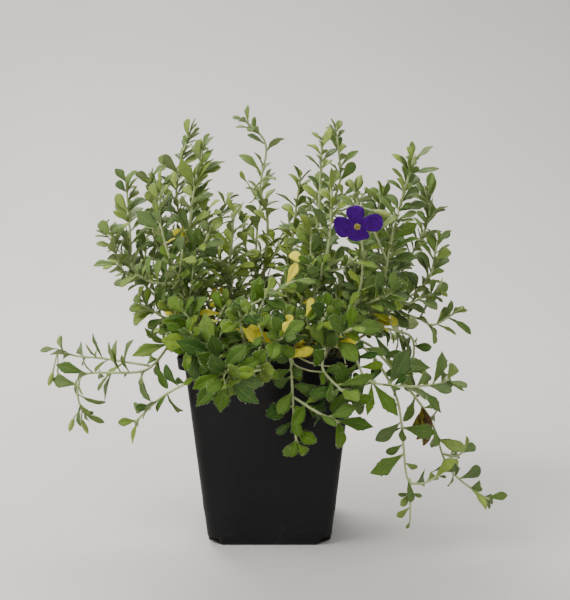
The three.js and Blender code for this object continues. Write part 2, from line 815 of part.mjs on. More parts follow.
// A closed geometry as a manifold solid with its faces pointing out.
function solid(geometry) {
  const bare = geometry.clone();
  for (const extra of Object.keys(bare.attributes)) if (extra !== "position") bare.deleteAttribute(extra);
  const merged = mergeVertices(bare, 1e-4);
  const vertProperties = new Float32Array(merged.attributes.position.array);
  const faces = Array.from(merged.index.array);
  const build = (list) => {
    const triVerts = new Uint32Array(list);
    return new wasm.Manifold(new wasm.Mesh({ numProp: 3, vertProperties, triVerts }));
  };
  const made = build(faces);
  if (made.volume() > 0) return made;
  const turned = [];
  for (let i = 0; i < faces.length; i += 3) turned.push(faces[i], faces[i + 2], faces[i + 1]);
  return build(turned);
}

// A solid as a named mesh.
function meshOf(name, made, material) {
  const { numProp, vertProperties, triVerts } = made.getMesh();
  const count = vertProperties.length / numProp;
  const points = new Float32Array(count * 3);
  for (let i = 0; i < count; i++) points.set(vertProperties.subarray(i * numProp, i * numProp + 3), i * 3);
  const geometry = new THREE.BufferGeometry();
  geometry.setAttribute("position", new THREE.BufferAttribute(points, 3));
  geometry.setIndex(new THREE.BufferAttribute(new Uint32Array(triVerts), 1));
  const mesh = new THREE.Mesh(geometry, material);
  mesh.name = name;
  return mesh;
}

const join = (solids) => wasm.Manifold.union(solids);

// A square ring with rounded corners at a height.
function squareRing(half, z, round = CORNER_ROUND) {
  const ring = [];
  for (let corner = 0; corner < 4; corner++) {
    for (let k = 0; k <= CORNER_STEPS; k++) {
      const angle = radians(45 + 90 * corner - 45 + (90 * k) / CORNER_STEPS);
      const [sx, sy] = [corner === 0 || corner === 3 ? 1 : -1, corner < 2 ? 1 : -1];
      const x = sx * (half - round) + round * Math.cos(angle);
      const y = sy * (half - round) + round * Math.sin(angle);
      ring.push([x, y, z]);
    }
  }
  return ring;
}

// A wedge that cuts a corner off the foot, slanting up to its top.
function cornerWedge(corner, grow) {
  const leg = NOTCH_LEG + grow;
  const far = FOOT_HALF + 6;
  const turn = radians(90 * corner);
  const ring = (reach, z) => [[far, far - reach - 6], [far, far], [far - reach - 6, far]].map(([x, y]) => [
    x * Math.cos(turn) - y * Math.sin(turn), x * Math.sin(turn) + y * Math.cos(turn), z,
  ]);
  return solid(loft([ring(leg + 6, -1), ring(leg + 4, FOOT_HEIGHT + grow)]));
}

// The pot: outside up to the lip, and down the inside to the floor, less its four drained corners.
function makePot() {
  const lipFoot = POT_HEIGHT - LIP_HEIGHT;
  const body = solid(loft([
    squareRing(BASE_HALF, 0),
    squareRing(FOOT_HALF, FOOT_HEIGHT),
    squareRing(KNEE_HALF, KNEE_HEIGHT),
    squareRing(WALL_HALF_TOP, lipFoot),
    squareRing(LIP_HALF_BOTTOM, lipFoot),
    squareRing(LIP_HALF_TOP, POT_HEIGHT),
    squareRing(LIP_HALF_TOP - WALL, POT_HEIGHT, CORNER_ROUND - WALL),
    squareRing(LIP_HALF_BOTTOM - WALL, lipFoot + WALL, CORNER_ROUND - WALL),
    squareRing(WALL_HALF_TOP - WALL, lipFoot + WALL, CORNER_ROUND - WALL),
    squareRing(KNEE_HALF - WALL, KNEE_HEIGHT, CORNER_ROUND - WALL),
    squareRing(FOOT_HALF - WALL, FOOT_HEIGHT, CORNER_ROUND - WALL),
    squareRing(BASE_HALF - WALL, WALL, CORNER_ROUND - WALL),
  ]));
  return [0, 1, 2, 3].reduce((left, corner) => left.subtract(cornerWedge(corner, 0)), body);
}

// The soil's height at a point.
function soilHeight(x, y, ring, i) {
  const share = Math.min(1, Math.max(Math.abs(x), Math.abs(y)) / WALL_HALF_TOP);
  const crumb = SOIL_CRUMB * (chance(900 + ring, i, 1) - 0.5);
  return SOIL_EDGE + (SOIL_CROWN - SOIL_EDGE) * (1 - share * share) + crumb;
}

// The soil fills the pot to just under the lip, with a plain hole for each stem.
function makeSoil() {
  const inner = (half) => half - WALL - FIT;
  const round = CORNER_ROUND - WALL;
  const top = inner(WALL_HALF_TOP) - 0.2;
  const crown = SOIL_RINGS.map((share, r) => {
    const flat = squareRing(top * share, 0, round * share);
    return flat.map(([x, y], i) => [x, y, soilHeight(x, y, r, i)]);
  });
  const block = solid(loft([
    squareRing(inner(BASE_HALF), WALL + FIT, round),
    squareRing(inner(FOOT_HALF), FOOT_HEIGHT, round),
    squareRing(inner(KNEE_HALF), KNEE_HEIGHT, round),
    ...crown,
  ]));
  const notched = [0, 1, 2, 3].reduce((left, corner) => left.subtract(cornerWedge(corner, FIT + 0.2)), block);
  return SHOOTS.reduce((left, { root: [x, y] }) => {
    const ring = (z) => Array.from({ length: STEM_SIDES }, (_, k) => {
      const angle = radians((360 * k) / STEM_SIDES);
      const radius = STEM_BASE_R + HOLE_EASE + 0.15;
      return [x + radius * Math.cos(angle), y + radius * Math.sin(angle), z];
    });
    return left.subtract(solid(loft([ring(ROOT_END - FIT), ring(ROOT_TOP + HOLE_DEPTH)])));
  }, notched);
}

// A tapered stem along a path, closed at both ends.
function stemSolid(points, radiusAt, sides) {
  let across = null;
  const rings = points.map((p, i) => {
    const ahead = unit(less(points[Math.min(i + 1, points.length - 1)], points[Math.max(i - 1, 0)]));
    const guide = across || [1, 0, 0];
    across = unit(less(guide, times(ahead, dot(guide, ahead))));
    const beside = cross(ahead, across);
    const radius = radiusAt(i / (points.length - 1));
    return Array.from({ length: sides }, (_, k) => {
      const angle = (2 * Math.PI * k) / sides;
      return add(p, add(times(across, radius * Math.cos(angle)), times(beside, radius * Math.sin(angle))));
    });
  });
  return solid(loft(rings));
}

// A thin closed blade: an upper and a lower side with the same triangles, meeting at the edge.
function bladeSolid(blade, [outline, ribs], thick, rootThick) {
  const points = [];
  const put = (p) => points.push(p) - 1;
  const edge = (sign) => outline.map(([share, width]) => {
    const index = put(bladePoint(blade, share, sign * width * blade.half));
    return { share, index };
  });
  const rib = (sign) => ribs.map((share) => {
    const raise = (sign * (share ? thick : rootThick)) / 2;
    return { share, index: put(bladePoint(blade, share, 0, raise)) };
  });
  const tip = { share: 1, index: put(bladePoint(blade, 1, 0)) };
  const [left, right] = [edge(-1), edge(1)];
  const [upper, lower] = [rib(1), rib(-1)];
  const triangles = [];
  const fill = (inside, outside, turned) => {
    const [a, b] = [[...inside, tip], [...outside, tip]];
    let [i, j] = [0, 0];
    while (i < a.length - 1 || j < b.length - 1) {
      const stepOut = i === a.length - 1 || (j < b.length - 1 && b[j + 1].share <= a[i + 1].share);
      const face = [a[i].index, b[j].index, stepOut ? b[j + 1].index : a[i + 1].index];
      if (new Set(face).size === 3) triangles.push(...(turned ? face.reverse() : face));
      if (stepOut) j++;
      else i++;
    }
  };
  fill(upper, right, false);
  fill(upper, left, true);
  fill(lower, right, true);
  fill(lower, left, false);
  const [l, r, t, b] = [left[0].index, right[0].index, upper[0].index, lower[0].index];
  triangles.push(t, l, b, t, b, r);
  return solid(geometryOf(points, triangles));
}

// Small round bodies along a line, such as a bud or the calyx.
function spindle(from, to, profile, sides) {
  const line = less(to, from);
  const points = profile.map(([share]) => add(from, times(line, share)));
  return stemSolid(points, (u) => profile[Math.round(u * (profile.length - 1))][1], sides);
}

// The flower's stalk and calyx, and the buds above them, which are green and grow with their shoot.
function flowerGreens(plant) {
  const { facing } = flowerFrame();
  const start = spotOn(plant.main, plant.main.length * FLOWER.stalkAt).point;
  const mouth = add(FLOWER.at, times(facing, -FIT - PETAL_THICK / 2));
  const heel = add(mouth, times(facing, -CALYX_LENGTH));
  const path = pathThrough([start, FLOWER.stalkWay, heel, add(heel, times(facing, 1.5))]);
  const stalkLine = [0, 0.25, 0.5, 0.75, 1].map((share) => spotOn(path, path.length * share).point);
  const stalk = stemSolid(stalkLine, () => STALK_R, SIDE_SIDES);
  const calyx = spindle(heel, mouth, [[0, 0.7], [0.35, CALYX_R], [1, CALYX_R * 0.9]], 5);
  const crown = spotOn(plant.main, plant.main.length - 1);
  const foot = add(crown.point, times(crown.direction, -1.5));
  const buds = BUD_WAYS.map((way, i) => {
    const head = add(foot, times(unit(way), BUD_LENGTH + i));
    return spindle(foot, head, [[0, 0.5], [0.7, BUD_R], [1, 0.35]], 4);
  });
  const longHead = add(stalkLine[2], times(unit(LONG_BUD_WAY), LONG_BUD_LENGTH));
  const longBud = spindle(stalkLine[2], longHead, [[0, 0.5], [0.45, 0.6], [0.75, BUD_R], [1, 0.35]], 4);
  return [stalk, calyx, longBud, ...buds];
}

// A leafy shoot in one body: root, stem, side shoots and leaves.
function makeShoot(plant) {
  const taper = (from, to) => (u) => from + (to - from) * u;
  const rooted = [[plant.foot[0], plant.foot[1], ROOT_END], ...plant.main.line];
  const pieces = [stemSolid(rooted, taper(STEM_BASE_R, STEM_TIP_R), STEM_SIDES)];
  for (const side of plant.sides) {
    pieces.push(stemSolid(side.path.line, taper(SIDE_BASE_R, STEM_TIP_R), SIDE_SIDES));
  }
  for (const blade of plant.leaves) {
    const [, form] = FORMS.find(([over]) => blade.length > over);
    pieces.push(bladeSolid(blade, form, RIB_THICK, ROOT_THICK));
  }
  if (plant.plan.flower) pieces.push(...flowerGreens(plant));
  return meshOf(plant.plan.name, join(pieces), green);
}

// Four petals that meet in a small disc.
function makePetals() {
  const { facing, right, up } = flowerFrame();
  const lift = times(facing, PETAL_THICK / 2);
  const disc = spindle(less(FLOWER.at, lift), add(FLOWER.at, lift), [[0, DISC_R], [1, DISC_R]], 8);
  const petals = PETALS.map(([turn, length, half]) => {
    const along = add(times(right, Math.cos(radians(turn))), times(up, Math.sin(radians(turn))));
    const place = { root: FLOWER.at, along, up: facing };
    const form = { length, half, curl: PETAL_CURL, fold: PETAL_FOLD };
    return bladeSolid({ ...place, ...form }, PETAL, PETAL_THICK, PETAL_THICK);
  });
  return meshOf("flower_petals", join([disc, ...petals]), violet);
}

// The yellow eye in front of the disc.
function makeEye() {
  const { facing } = flowerFrame();
  const back = add(FLOWER.at, times(facing, PETAL_THICK / 2 + FIT));
  const front = add(back, times(facing, EYE_HEIGHT));
  return meshOf("flower_eye", spindle(back, front, [[0, EYE_R], [0.5, EYE_R], [1, EYE_R * 0.6]], 8), yellow);
}

const plant = new THREE.Group();
plant.add(meshOf("pot", makePot(), black), meshOf("soil", makeSoil(), brown));
for (const shoot of growPlant()) plant.add(makeShoot(shoot));
plant.add(makePetals(), makeEye());
export default plant;
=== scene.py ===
"""Looks of a potted aubrieta: hairy leafy shoots, a violet flower, peat soil and a square pot.

Laid out as an add-on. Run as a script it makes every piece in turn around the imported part.
Growth is worked out in millimetres and turned to metres as each mesh is made.
"""

import itertools
import math

import bmesh
import bpy
import numpy as np
from bpy.props import FloatProperty, FloatVectorProperty, IntProperty, PointerProperty
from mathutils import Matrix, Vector, noise


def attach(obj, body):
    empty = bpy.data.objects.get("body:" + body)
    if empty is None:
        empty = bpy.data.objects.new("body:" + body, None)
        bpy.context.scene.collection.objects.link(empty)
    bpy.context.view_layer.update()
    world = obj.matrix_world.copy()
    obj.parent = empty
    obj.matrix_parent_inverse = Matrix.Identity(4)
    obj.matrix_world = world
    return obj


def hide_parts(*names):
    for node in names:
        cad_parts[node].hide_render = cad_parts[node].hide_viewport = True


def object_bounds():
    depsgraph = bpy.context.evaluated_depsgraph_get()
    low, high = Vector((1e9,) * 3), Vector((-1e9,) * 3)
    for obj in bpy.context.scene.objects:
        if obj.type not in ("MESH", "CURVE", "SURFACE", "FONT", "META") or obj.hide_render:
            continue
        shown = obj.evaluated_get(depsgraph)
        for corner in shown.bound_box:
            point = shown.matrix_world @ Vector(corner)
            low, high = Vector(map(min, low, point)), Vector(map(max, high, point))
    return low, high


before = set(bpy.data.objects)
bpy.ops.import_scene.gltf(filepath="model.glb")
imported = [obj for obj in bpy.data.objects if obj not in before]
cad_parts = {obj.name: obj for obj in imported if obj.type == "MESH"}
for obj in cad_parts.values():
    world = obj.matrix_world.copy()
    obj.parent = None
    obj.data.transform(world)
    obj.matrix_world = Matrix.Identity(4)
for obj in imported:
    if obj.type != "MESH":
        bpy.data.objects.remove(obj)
CAD_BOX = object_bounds()

bl_info = {
    "name": "Potted Aubrieta",
    "version": (1, 0, 0),
    "blender": (4, 5, 0),
    "location": "View3D > Sidebar > Aubrieta",
    "description": "Makes the leaves, stems, flower, soil and pot of a young aubrieta",
    "category": "Add Mesh",
}

MM = 0.001
TINY = 1e-9

# Seeds of the draws. Each shoot adds its own number to the shoots' seed.
SHOOT_SEED = 4100
TWIG_SEED = 4099
PETAL_SEED = 77
EYE_SEED = 78
CRUMB_SEED = 79

# Pot, in millimetres: half widths of its square outline, and the heights where the wall bends.
POT_HEIGHT = 101
LIP_HEIGHT = 6.5
LIP_HALF_TOP = 45.5
LIP_HALF_BOTTOM = 44.9
WALL_HALF_TOP = 41.9
KNEE_HEIGHT = 17
KNEE_HALF = 33.7
FOOT_HEIGHT = 4
FOOT_HALF = 32.2
BASE_HALF = 31.7
WALL = 1.3
CORNER_ROUND = 5
NOTCH_LEG = 9
SHARP_FROM = 32

# Soil: its height at the edge and in the middle, its gaps to the pot, and its crumbs.
SOIL_EDGE = 92.5
SOIL_CROWN = 95.5
SOIL_GAP = 0.3
SOIL_EASE = 0.5
SOIL_PARTS = 34
CRUMB_REACH = 38
FIBRE_SHARE = 0.25
PALE_SHARE = 0.06
CRUMB = ((0, 0.2), (0.18, 0.75), (0.5, 1), (0.8, 0.7), (1, 0.2))

# How stems and leaves grow.
ROOT_TOP = 97.5
ROOT_END = 90
STEM_STEP = 30
STEM_SAG = 0.9
STEM_POINTS = 1.5
MAIN_FREE = 6
SIDE_FREE = 4
SHORT_BOW = 0.6
SHORT_SAG = 2.5
PATH_STEPS = 10
GOLDEN_TURN = 137.5
NARROW_SHARE = 0.16
LEAF_GROWTH = 1.16
LAST_LEAF = 0.985
YOUNG_FROM = 0.65
NARROW_HALF = 0.15
LEAF_HALF = 0.19
ROSETTE_BROADER = 0.03
BROADER = 0.04
LIFT = 0.22
TO_LIGHT = (-0.12, -0.45, 0.45)

# Clearances between the points that stand for blades and stems.
CROWD_CELL = 3
CROWD_STEP = 1.9
CLEAR_OTHER = 2.1
CLEAR_OWN_LEAF = 1.6
CLEAR_OWN_STEM = 0.7
STEM_CLEAR = 3.1
FILL_CLEAR = 1.05
FILL_CLEAR_OWN = 1.0
TWIG_CLEAR = 1.5
CLEAR_GROUND = 3
CLEAR_LIP_INSIDE = 2.5
CLEAR_SOIL = 2
CLEAR_POT = 1.8
FILL_BENDS = (
    (0, 0, 1), (38, -10, 0.95), (-38, 6, 0.9), (80, 0, 0.85), (-80, -12, 0.8), (150, 0, 0.7),
)
BOWS = (0, 4, -4, 8, -8, 12, -12, 16, -16)
BENDS = (
    (0, 0, 1), (22, 0, 1), (-22, 0, 1), (0, -14, 1), (0, 16, 1), (45, -8, 0.94), (-45, -8, 0.94),
    (70, 8, 0.88), (-70, 8, 0.88), (100, 0, 0.8), (-100, 0, 0.8), (140, -6, 0.74), (180, 0, 0.7),
)

# The flower: its middle, the way it faces, and its petals.
FLOWER_AT = (42.5, -50, 167)
FLOWER_FACING = (-0.08, -0.86, -0.5)
FLOWER_REACH = 12
PETALS = ((10, 12, 5), (98, 10.8, 4.2), (190, 11.6, 6.1), (275, 9.4, 4.9))
STALK_AT = 0.8
STALK_WAY = (45, -40, 176)
CALYX_LENGTH = 7
BUD_WAYS = ((-0.4, -0.35, 0.85), (0.25, -0.15, 0.95))
BUD_LENGTH = 9
LONG_BUD_WAY = (0.93, -0.2, -0.22)
LONG_BUD_LENGTH = 15

# The stage, in metres: the floor and its rise at the back, the lights and the camera.
FLOOR_HEIGHT = -0.0004
FLOOR_FRONT = -1.4
FLOOR_BACK = 0.6
FLOOR_BEND = 0.35
FLOOR_TOP = 1.7
FLOOR_HALF = 1.9
LIGHTS = (
    ("window_light", (-0.8, -0.45, 1.15), (0, 0, 0.13), 1, 0.8, 0.7, (1.0, 0.985, 0.95)),
    ("front_fill", (0.85, -1.25, 0.75), (0, 0, 0.1), 0.34, 1.2, 1.0, (0.93, 0.96, 1.0)),
    ("back_rim", (-0.25, 0.72, 1.0), (0, 0, 0.15), 0.95, 0.9, 0.5, (1.0, 0.99, 0.96)),
)
ROOM_COLOUR = (0.88, 0.91, 0.95, 1)
CAMERA_AT = (0.008, -0.596, 0.221)
CAMERA_DOWN = 9.38
CAMERA_LENS = 69


class Side:
    """A side shoot: where it leaves its stem, as a share of the length, and how it grows."""

    def __init__(self, at, way, leaves, size, turn):
        self.at, self.way, self.leaves, self.size, self.turn = at, way, leaves, size, turn
        self.bare, self.rosette, self.broad = 0.3, False, False


class Shoot:
    """A leafy shoot: its foot in the soil, the points that its stem passes, and its leaves."""

    def __init__(self, name, root, way, leaves, size, bare, turn,
                 side=None, flower=False, rosette=False, broad=False):
        self.name, self.root, self.way = name, root, way
        self.leaves, self.size, self.bare, self.turn = leaves, size, bare, turn
        self.side, self.flower, self.rosette, self.broad = side, flower, rosette, broad


SHOOTS = (
    Shoot("left_shoot_1", (-27, 9), ((-40, 12, 140), (-48, 10, 167), (-48, 6, 187), (-41, 4, 210)),
          8, 13, 0.34, 200, side=Side(0.55, ((-62, 22, 158),), 4, 11, 30)),
    Shoot("left_shoot_2", (-22, -3), ((-39, -10, 132), (-41, -14, 156), (-38, -15, 178),
           (-33, -14, 203)),
          10, 15, 0.3, 70, side=Side(0.5, ((-30, -24, 160),), 4, 12, 10)),
    Shoot("left_shoot_3", (-34, -5), ((-49, -8, 120), (-62, -6, 128), (-72, -2, 145), (-72, 0, 162),
           (-74, 0, 184)),
          8, 13, 0.3, 150, side=Side(0.46, ((-76, -10, 140), (-80, -12, 157)), 5, 14, 160)),
    Shoot("left_shoot_4", (-28, 2), ((-44, 4, 128), (-60, 2, 154), (-58, 0, 169), (-61, -4, 186)),
          7, 12, 0.36, 20),
    Shoot("left_shoot_5", (-26, -14), ((-44, -22, 132), (-53, -24, 160), (-55, -22, 172),
           (-53, -20, 184)),
          7, 13, 0.3, 300, side=Side(0.45, ((-66, -28, 140),), 4, 11, 80)),
    Shoot("left_shoot_6", (-14, 16), ((-24, 26, 130), (-30, 28, 154), (-23, 27, 173)),
          7, 12, 0.34, 40),
    Shoot("left_shoot_7", (-14, 3), ((-22, 6, 125), (-20, 6, 150), (-19, 4, 168)),
          7, 13, 0.3, 250, side=Side(0.6, ((-34, 2, 150),), 3, 11, 0)),
    Shoot("left_shoot_8", (-35, -15), ((-46, -20, 112), (-65, -22, 124)), 5, 13, 0.35, 90),
    Shoot("left_shoot_9", (-32, 17), ((-48, 24, 118), (-62, 26, 140), (-61, 24, 158)),
          7, 12, 0.32, 10, side=Side(0.55, ((-76, 34, 134),), 4, 11, 110)),
    Shoot("middle_shoot_1", (-5, 11), ((-4, 14, 130), (-1, 16, 162), (-5, 14, 178), (-4, 12, 191),
           (-2, 10, 203), (-13, 8, 216)),
          9, 12, 0.3, 180),
    Shoot("middle_shoot_2", (3, 19), ((-6, 26, 128), (-14, 30, 148), (-14, 30, 163)),
          6, 10, 0.36, 60, side=Side(0.5, ((6, 36, 150),), 4, 10, 200)),
    Shoot("middle_shoot_3", (6, 4), ((10, 8, 128), (12, 10, 154), (14, 10, 170), (16, 9, 187)),
          8, 11, 0.36, 160),
    Shoot("middle_shoot_4", (13, -4), ((20, -6, 128), (24, -6, 156), (26, -4, 176), (26, -2, 192),
           (27, 0, 205)),
          10, 13, 0.3, 120, side=Side(0.5, ((14, -14, 160),), 4, 12, 60)),
    Shoot("middle_shoot_5", (19, 8), ((24, 12, 130), (29, 14, 162), (36, 10, 180), (37, 8, 194),
           (34, 6, 211)),
          8, 12, 0.36, 330, side=Side(0.6, ((50, 20, 176),), 3, 11, 0)),
    Shoot("middle_shoot_6", (-10, -17), ((-15, -34, 119), (-3, -42, 130), (12, -44, 139)),
          7, 15, 0.3, 30),
    Shoot("middle_shoot_7", (8, -11), ((17, -20, 126), (21, -22, 148), (21, -20, 165)),
          8, 14, 0.3, 100),
    Shoot("middle_shoot_8", (17, -14), ((24, -24, 132), (30, -28, 156), (31, -26, 184)),
          9, 14, 0.28, 215, side=Side(0.52, ((44, -34, 150),), 3, 12, 0)),
    Shoot("flowering_shoot", (28, -20), ((41, -29, 120), (46, -33, 140), (46, -33, 160),
           (42, -34, 183)),
          8, 12, 0.3, 45, flower=True),
    Shoot("right_shoot_1", (30, -8), ((54, -14, 122), (59, -14, 138), (64, -12, 166),
           (69, -11, 182), (73, -10, 197)),
          10, 15, 0.26, 130, side=Side(0.52, ((50, -18, 168),), 4, 12, 40)),
    Shoot("right_shoot_2", (32, 14), ((60, 22, 126), (78, 22, 146), (85, 18, 166), (82, 15, 181)),
          8, 13, 0.34, 80, side=Side(0.5, ((62, 32, 164),), 4, 12, 210)),
    Shoot("right_shoot_3", (36, 3), ((58, 6, 117), (72, 6, 123), (84, 6, 134), (88, 5, 153)),
          8, 13, 0.28, 20),
    Shoot("right_shoot_4", (37, -6), ((56, -16, 114), (86, -10, 128)), 6, 14, 0.34, 60),
    Shoot("right_shoot_5", (35, 20), ((54, 18, 110), (74, 16, 112), (88, 12, 107), (99, 10, 114)),
          7, 12, 0.42, 100),
    Shoot("right_shoot_6", (25, 2), ((38, 2, 126), (52, 2, 150), (58, 0, 176)), 8, 13, 0.32, 280),
    Shoot("right_shoot_7", (37, -14), ((54, -26, 110), (72, -22, 106), (75, -20, 96),
           (71, -20, 86)),
          6, 13, 0.34, 10),
    Shoot("right_shoot_8", (24, -13), ((38, -26, 118), (60, -38, 132)), 7, 14, 0.3, 180),
    Shoot("trailing_right_1", (33, -36), ((37, -43, 106), (42, -49, 103), (48, -52, 92),
           (62, -52, 89), (76, -50, 88), (88, -48, 91)),
          8, 15, 0.3, 60, broad=True, side=Side(0.5, ((33, -57, 88),), 4, 14, 30)),
    Shoot("trailing_right_2", (38, -31), ((42, -35, 105.5), (50, -42, 103), (60, -44, 88),
           (65, -42, 74), (67, -42, 56), (69, -42, 40), (77, -42, 36), (88, -40, 42)),
          5, 16, 0.56, 20, side=Side(0.82, ((71, -43, 17),), 2, 7, 0)),
    Shoot("trailing_right_3", (37, -24), ((42, -27, 106), (53, -33, 103), (68, -34, 84),
           (80, -33, 70), (86, -34, 54), (91, -35, 42), (103, -36, 31), (112, -36, 26)),
          8, 14, 0.44, 140, side=Side(0.72, ((98, -38, 52),), 3, 11, 90)),
    Shoot("hanging_shoot_1", (9, -32), ((9, -49, 105), (12, -53, 94), (11, -54, 82), (14, -55, 60)),
          8, 11.5, 0.24, 80, broad=True,
          side=Side(0.62, ((22, -57, 78), (34, -57, 72)), 5, 16, 120)),
    Shoot("rosette_shoot_1", (-18, -30), ((-26, -47, 106), (-20, -62, 96)),
          15, 16, 0.6, 15, rosette=True),
    Shoot("rosette_shoot_2", (-9, -30), ((-13, -40, 112), (-13, -49, 121)),
          8, 13, 0.45, 60, rosette=True),
    Shoot("front_shoot_1", (-31, -28), ((-34, -42, 108), (-37, -54, 106)),
          6, 14, 0.4, 200, broad=True),
    Shoot("front_shoot_2", (18, -34), ((27, -48, 106), (27, -56, 96), (40, -60, 84)),
          7, 16, 0.35, 300, broad=True),
    Shoot("front_shoot_3", (27, -34), ((32, -46, 110), (40, -56, 118)), 7, 15, 0.34, 0, broad=True),
    Shoot("trailing_left_1", (-37, 4), ((-42, 3, 105.5), (-50, 0, 103), (-56, -4, 94),
           (-65, -8, 87), (-77, -9, 85), (-88, -9, 86), (-97, -9, 84), (-101, -9, 73),
           (-96, -9, 62)),
          11, 15, 0.24, 100,
          side=Side(0.4, ((-84, 0, 91), (-99, 2, 91), (-113, 2, 96)), 6, 13, 30)),
    Shoot("trailing_left_2", (-26, -36), ((-33, -50, 105), (-35, -53, 93), (-47, -50, 86),
           (-58, -47, 77), (-66, -46, 69)),
          7, 14, 0.4, 50),
    Shoot("back_shoot_1", (-20, 26), ((-32, 42, 122), (-40, 52, 148), (-40, 54, 176)),
          7, 13, 0.32, 90, side=Side(0.5, ((-56, 54, 148),), 4, 12, 0)),
    Shoot("back_shoot_2", (-4, 28), ((-8, 44, 126), (-8, 56, 152), (-4, 58, 182)),
          8, 13, 0.3, 10, side=Side(0.5, ((10, 62, 156),), 4, 12, 0)),
    Shoot("back_shoot_3", (12, 26), ((20, 38, 124), (26, 48, 150), (28, 50, 178)),
          8, 13, 0.32, 140),
    Shoot("back_shoot_4", (27, 28), ((44, 42, 122), (54, 50, 144), (56, 52, 168)),
          6, 13, 0.32, 220, side=Side(0.5, ((70, 44, 144),), 4, 12, 0)),
    Shoot("back_shoot_5", (-30, 32), ((-40, 52, 108), (-52, 68, 102), (-64, 76, 92)),
          7, 14, 0.32, 60),
    Shoot("back_shoot_6", (4, 36), ((4, 56, 110), (8, 74, 116), (12, 88, 108)), 7, 14, 0.32, 30),
    Shoot("back_shoot_7", (34, 35), ((50, 52, 108), (64, 66, 104), (76, 74, 88)), 7, 14, 0.32, 170),
    Shoot("back_shoot_8", (-12, 36), ((-16, 52, 112), (-20, 66, 128), (-24, 74, 146)),
          7, 13, 0.32, 130),
    Shoot("front_shoot_4", (2, -37), ((2, -49, 107), (7, -56, 114)), 7, 14, 0.4, 40, broad=True),
    Shoot("rosette_shoot_3", (-4, -31), ((-4, -48, 108), (-5, -57, 99)),
          8, 13, 0.5, 100, rosette=True),
    Shoot("front_shoot_5", (17, -26), ((23, -40, 113), (29, -47, 125)),
          7, 14, 0.34, 250, broad=True),
    Shoot("front_shoot_6", (-27, -21), ((-34, -34, 111), (-41, -42, 123)),
          7, 14, 0.34, 330, broad=True),
)


def add(a, b):
    return (a[0] + b[0], a[1] + b[1], a[2] + b[2])


def less(a, b):
    return (a[0] - b[0], a[1] - b[1], a[2] - b[2])


def times(a, k):
    return (a[0] * k, a[1] * k, a[2] * k)


def dot(a, b):
    return a[0] * b[0] + a[1] * b[1] + a[2] * b[2]


def cross(a, b):
    return (a[1] * b[2] - a[2] * b[1], a[2] * b[0] - a[0] * b[2], a[0] * b[1] - a[1] * b[0])


def size(a):
    return math.sqrt(dot(a, a))


def unit(a):
    return times(a, 1 / size(a))


def chance(shoot, leaf, use):
    """A repeatable number from 0 to 1 for each shoot, leaf and use."""
    n = (shoot * 7919 + leaf * 104729 + use * 15485863 + 17) & 0xFFFFFFFF
    n = ((n ^ (n >> 15)) * 2246822519) & 0xFFFFFFFF
    n = ((n ^ (n >> 13)) * 3266489917) & 0xFFFFFFFF
    return (n ^ (n >> 16)) / 4294967296


class Path:
    """A line of points with the distance run at each."""

    def __init__(self, line):
        self.line = line
        self.run = [0]
        for i in range(1, len(line)):
            self.run.append(self.run[i - 1] + size(less(line[i], line[i - 1])))
        self.length = self.run[-1]

    def spot(self, distance):
        """The point and the direction at a distance along the line."""
        i = 1
        while i < len(self.line) - 1 and self.run[i] < distance:
            i += 1
        step = less(self.line[i], self.line[i - 1])
        share = (distance - self.run[i - 1]) / (self.run[i] - self.run[i - 1])
        return add(self.line[i - 1], times(step, share)), unit(step)

    def points(self, step):
        """Points every so often along the line."""
        found = []
        d = 0
        while d < self.length:
            found.append(self.spot(d)[0])
            d += step
        return found


def path_through(points, steps=PATH_STEPS):
    """A smooth line through the points."""
    last = len(points) - 1

    def at(i):
        if i < 0:
            return less(times(points[0], 2), points[1])
        if i > last:
            return less(times(points[last], 2), points[last - 1])
        return points[i]

    line = []
    for i in range(last):
        a, b, c, d = at(i - 1), at(i), at(i + 1), at(i + 2)
        for k in range(steps):
            t = k / steps
            point = []
            for n in range(3):
                out = (c[n] - a[n]) / 2
                into = (d[n] - b[n]) / 2
                square = 3 * (c[n] - b[n]) - 2 * out - into
                cube = 2 * (b[n] - c[n]) + out + into
                point.append(b[n] + out * t + square * t * t + cube * t * t * t)
            line.append(tuple(point))
    line.append(points[last])
    return Path(line)


def coarse_path(path):
    """The same line with as long steps as its bends allow."""
    kept = [0]
    for i in range(2, len(path.line)):
        start = path.line[kept[-1]]
        chord = less(path.line[i], start)
        way = unit(chord)
        bent = any(size(cross(less(p, start), way)) > STEM_SAG for p in path.line[kept[-1] + 1 : i])
        if bent or size(chord) > STEM_STEP:
            kept.append(i - 1)
    kept.append(len(path.line) - 1)
    return Path([path.line[i] for i in kept])


class Crowd:
    """Points taken by stems and blades, in cells, so that what grows later keeps clear of them."""

    def __init__(self):
        self.cells = {}

    def settle(self, points, owner, clear_own):
        """Takes the points for a shoot, whose own parts have to keep clear_own away."""
        for p in points:
            key = tuple(math.floor(v / CROWD_CELL) for v in p)
            self.cells.setdefault(key, []).append((p, owner, clear_own))

    def around(self, p, clear):
        """What stands in the cells within a distance of a point, and how far it is from it."""
        x, y, z = (math.floor(v / CROWD_CELL) for v in p)
        reach = math.ceil(clear / CROWD_CELL)
        near = range(-reach, reach + 1)
        for i, j, k in itertools.product(near, near, near):
            for q, other, clear_own in self.cells.get((x + i, y + j, z + k), ()):
                yield size(less(p, q)), other, clear_own

    def takes(self, p, owner, clear_other):
        """Whether a point is too near to its own shoot or to another one."""
        return any(gap < (clear_own if other == owner else clear_other)
                   for gap, other, clear_own in self.around(p, clear_other))

    def is_near(self, p, clear):
        """Whether anything but a shoot's own main stem has grown within a distance of a point."""
        return any(clear_own and gap < clear for gap, _, clear_own in self.around(p, clear))


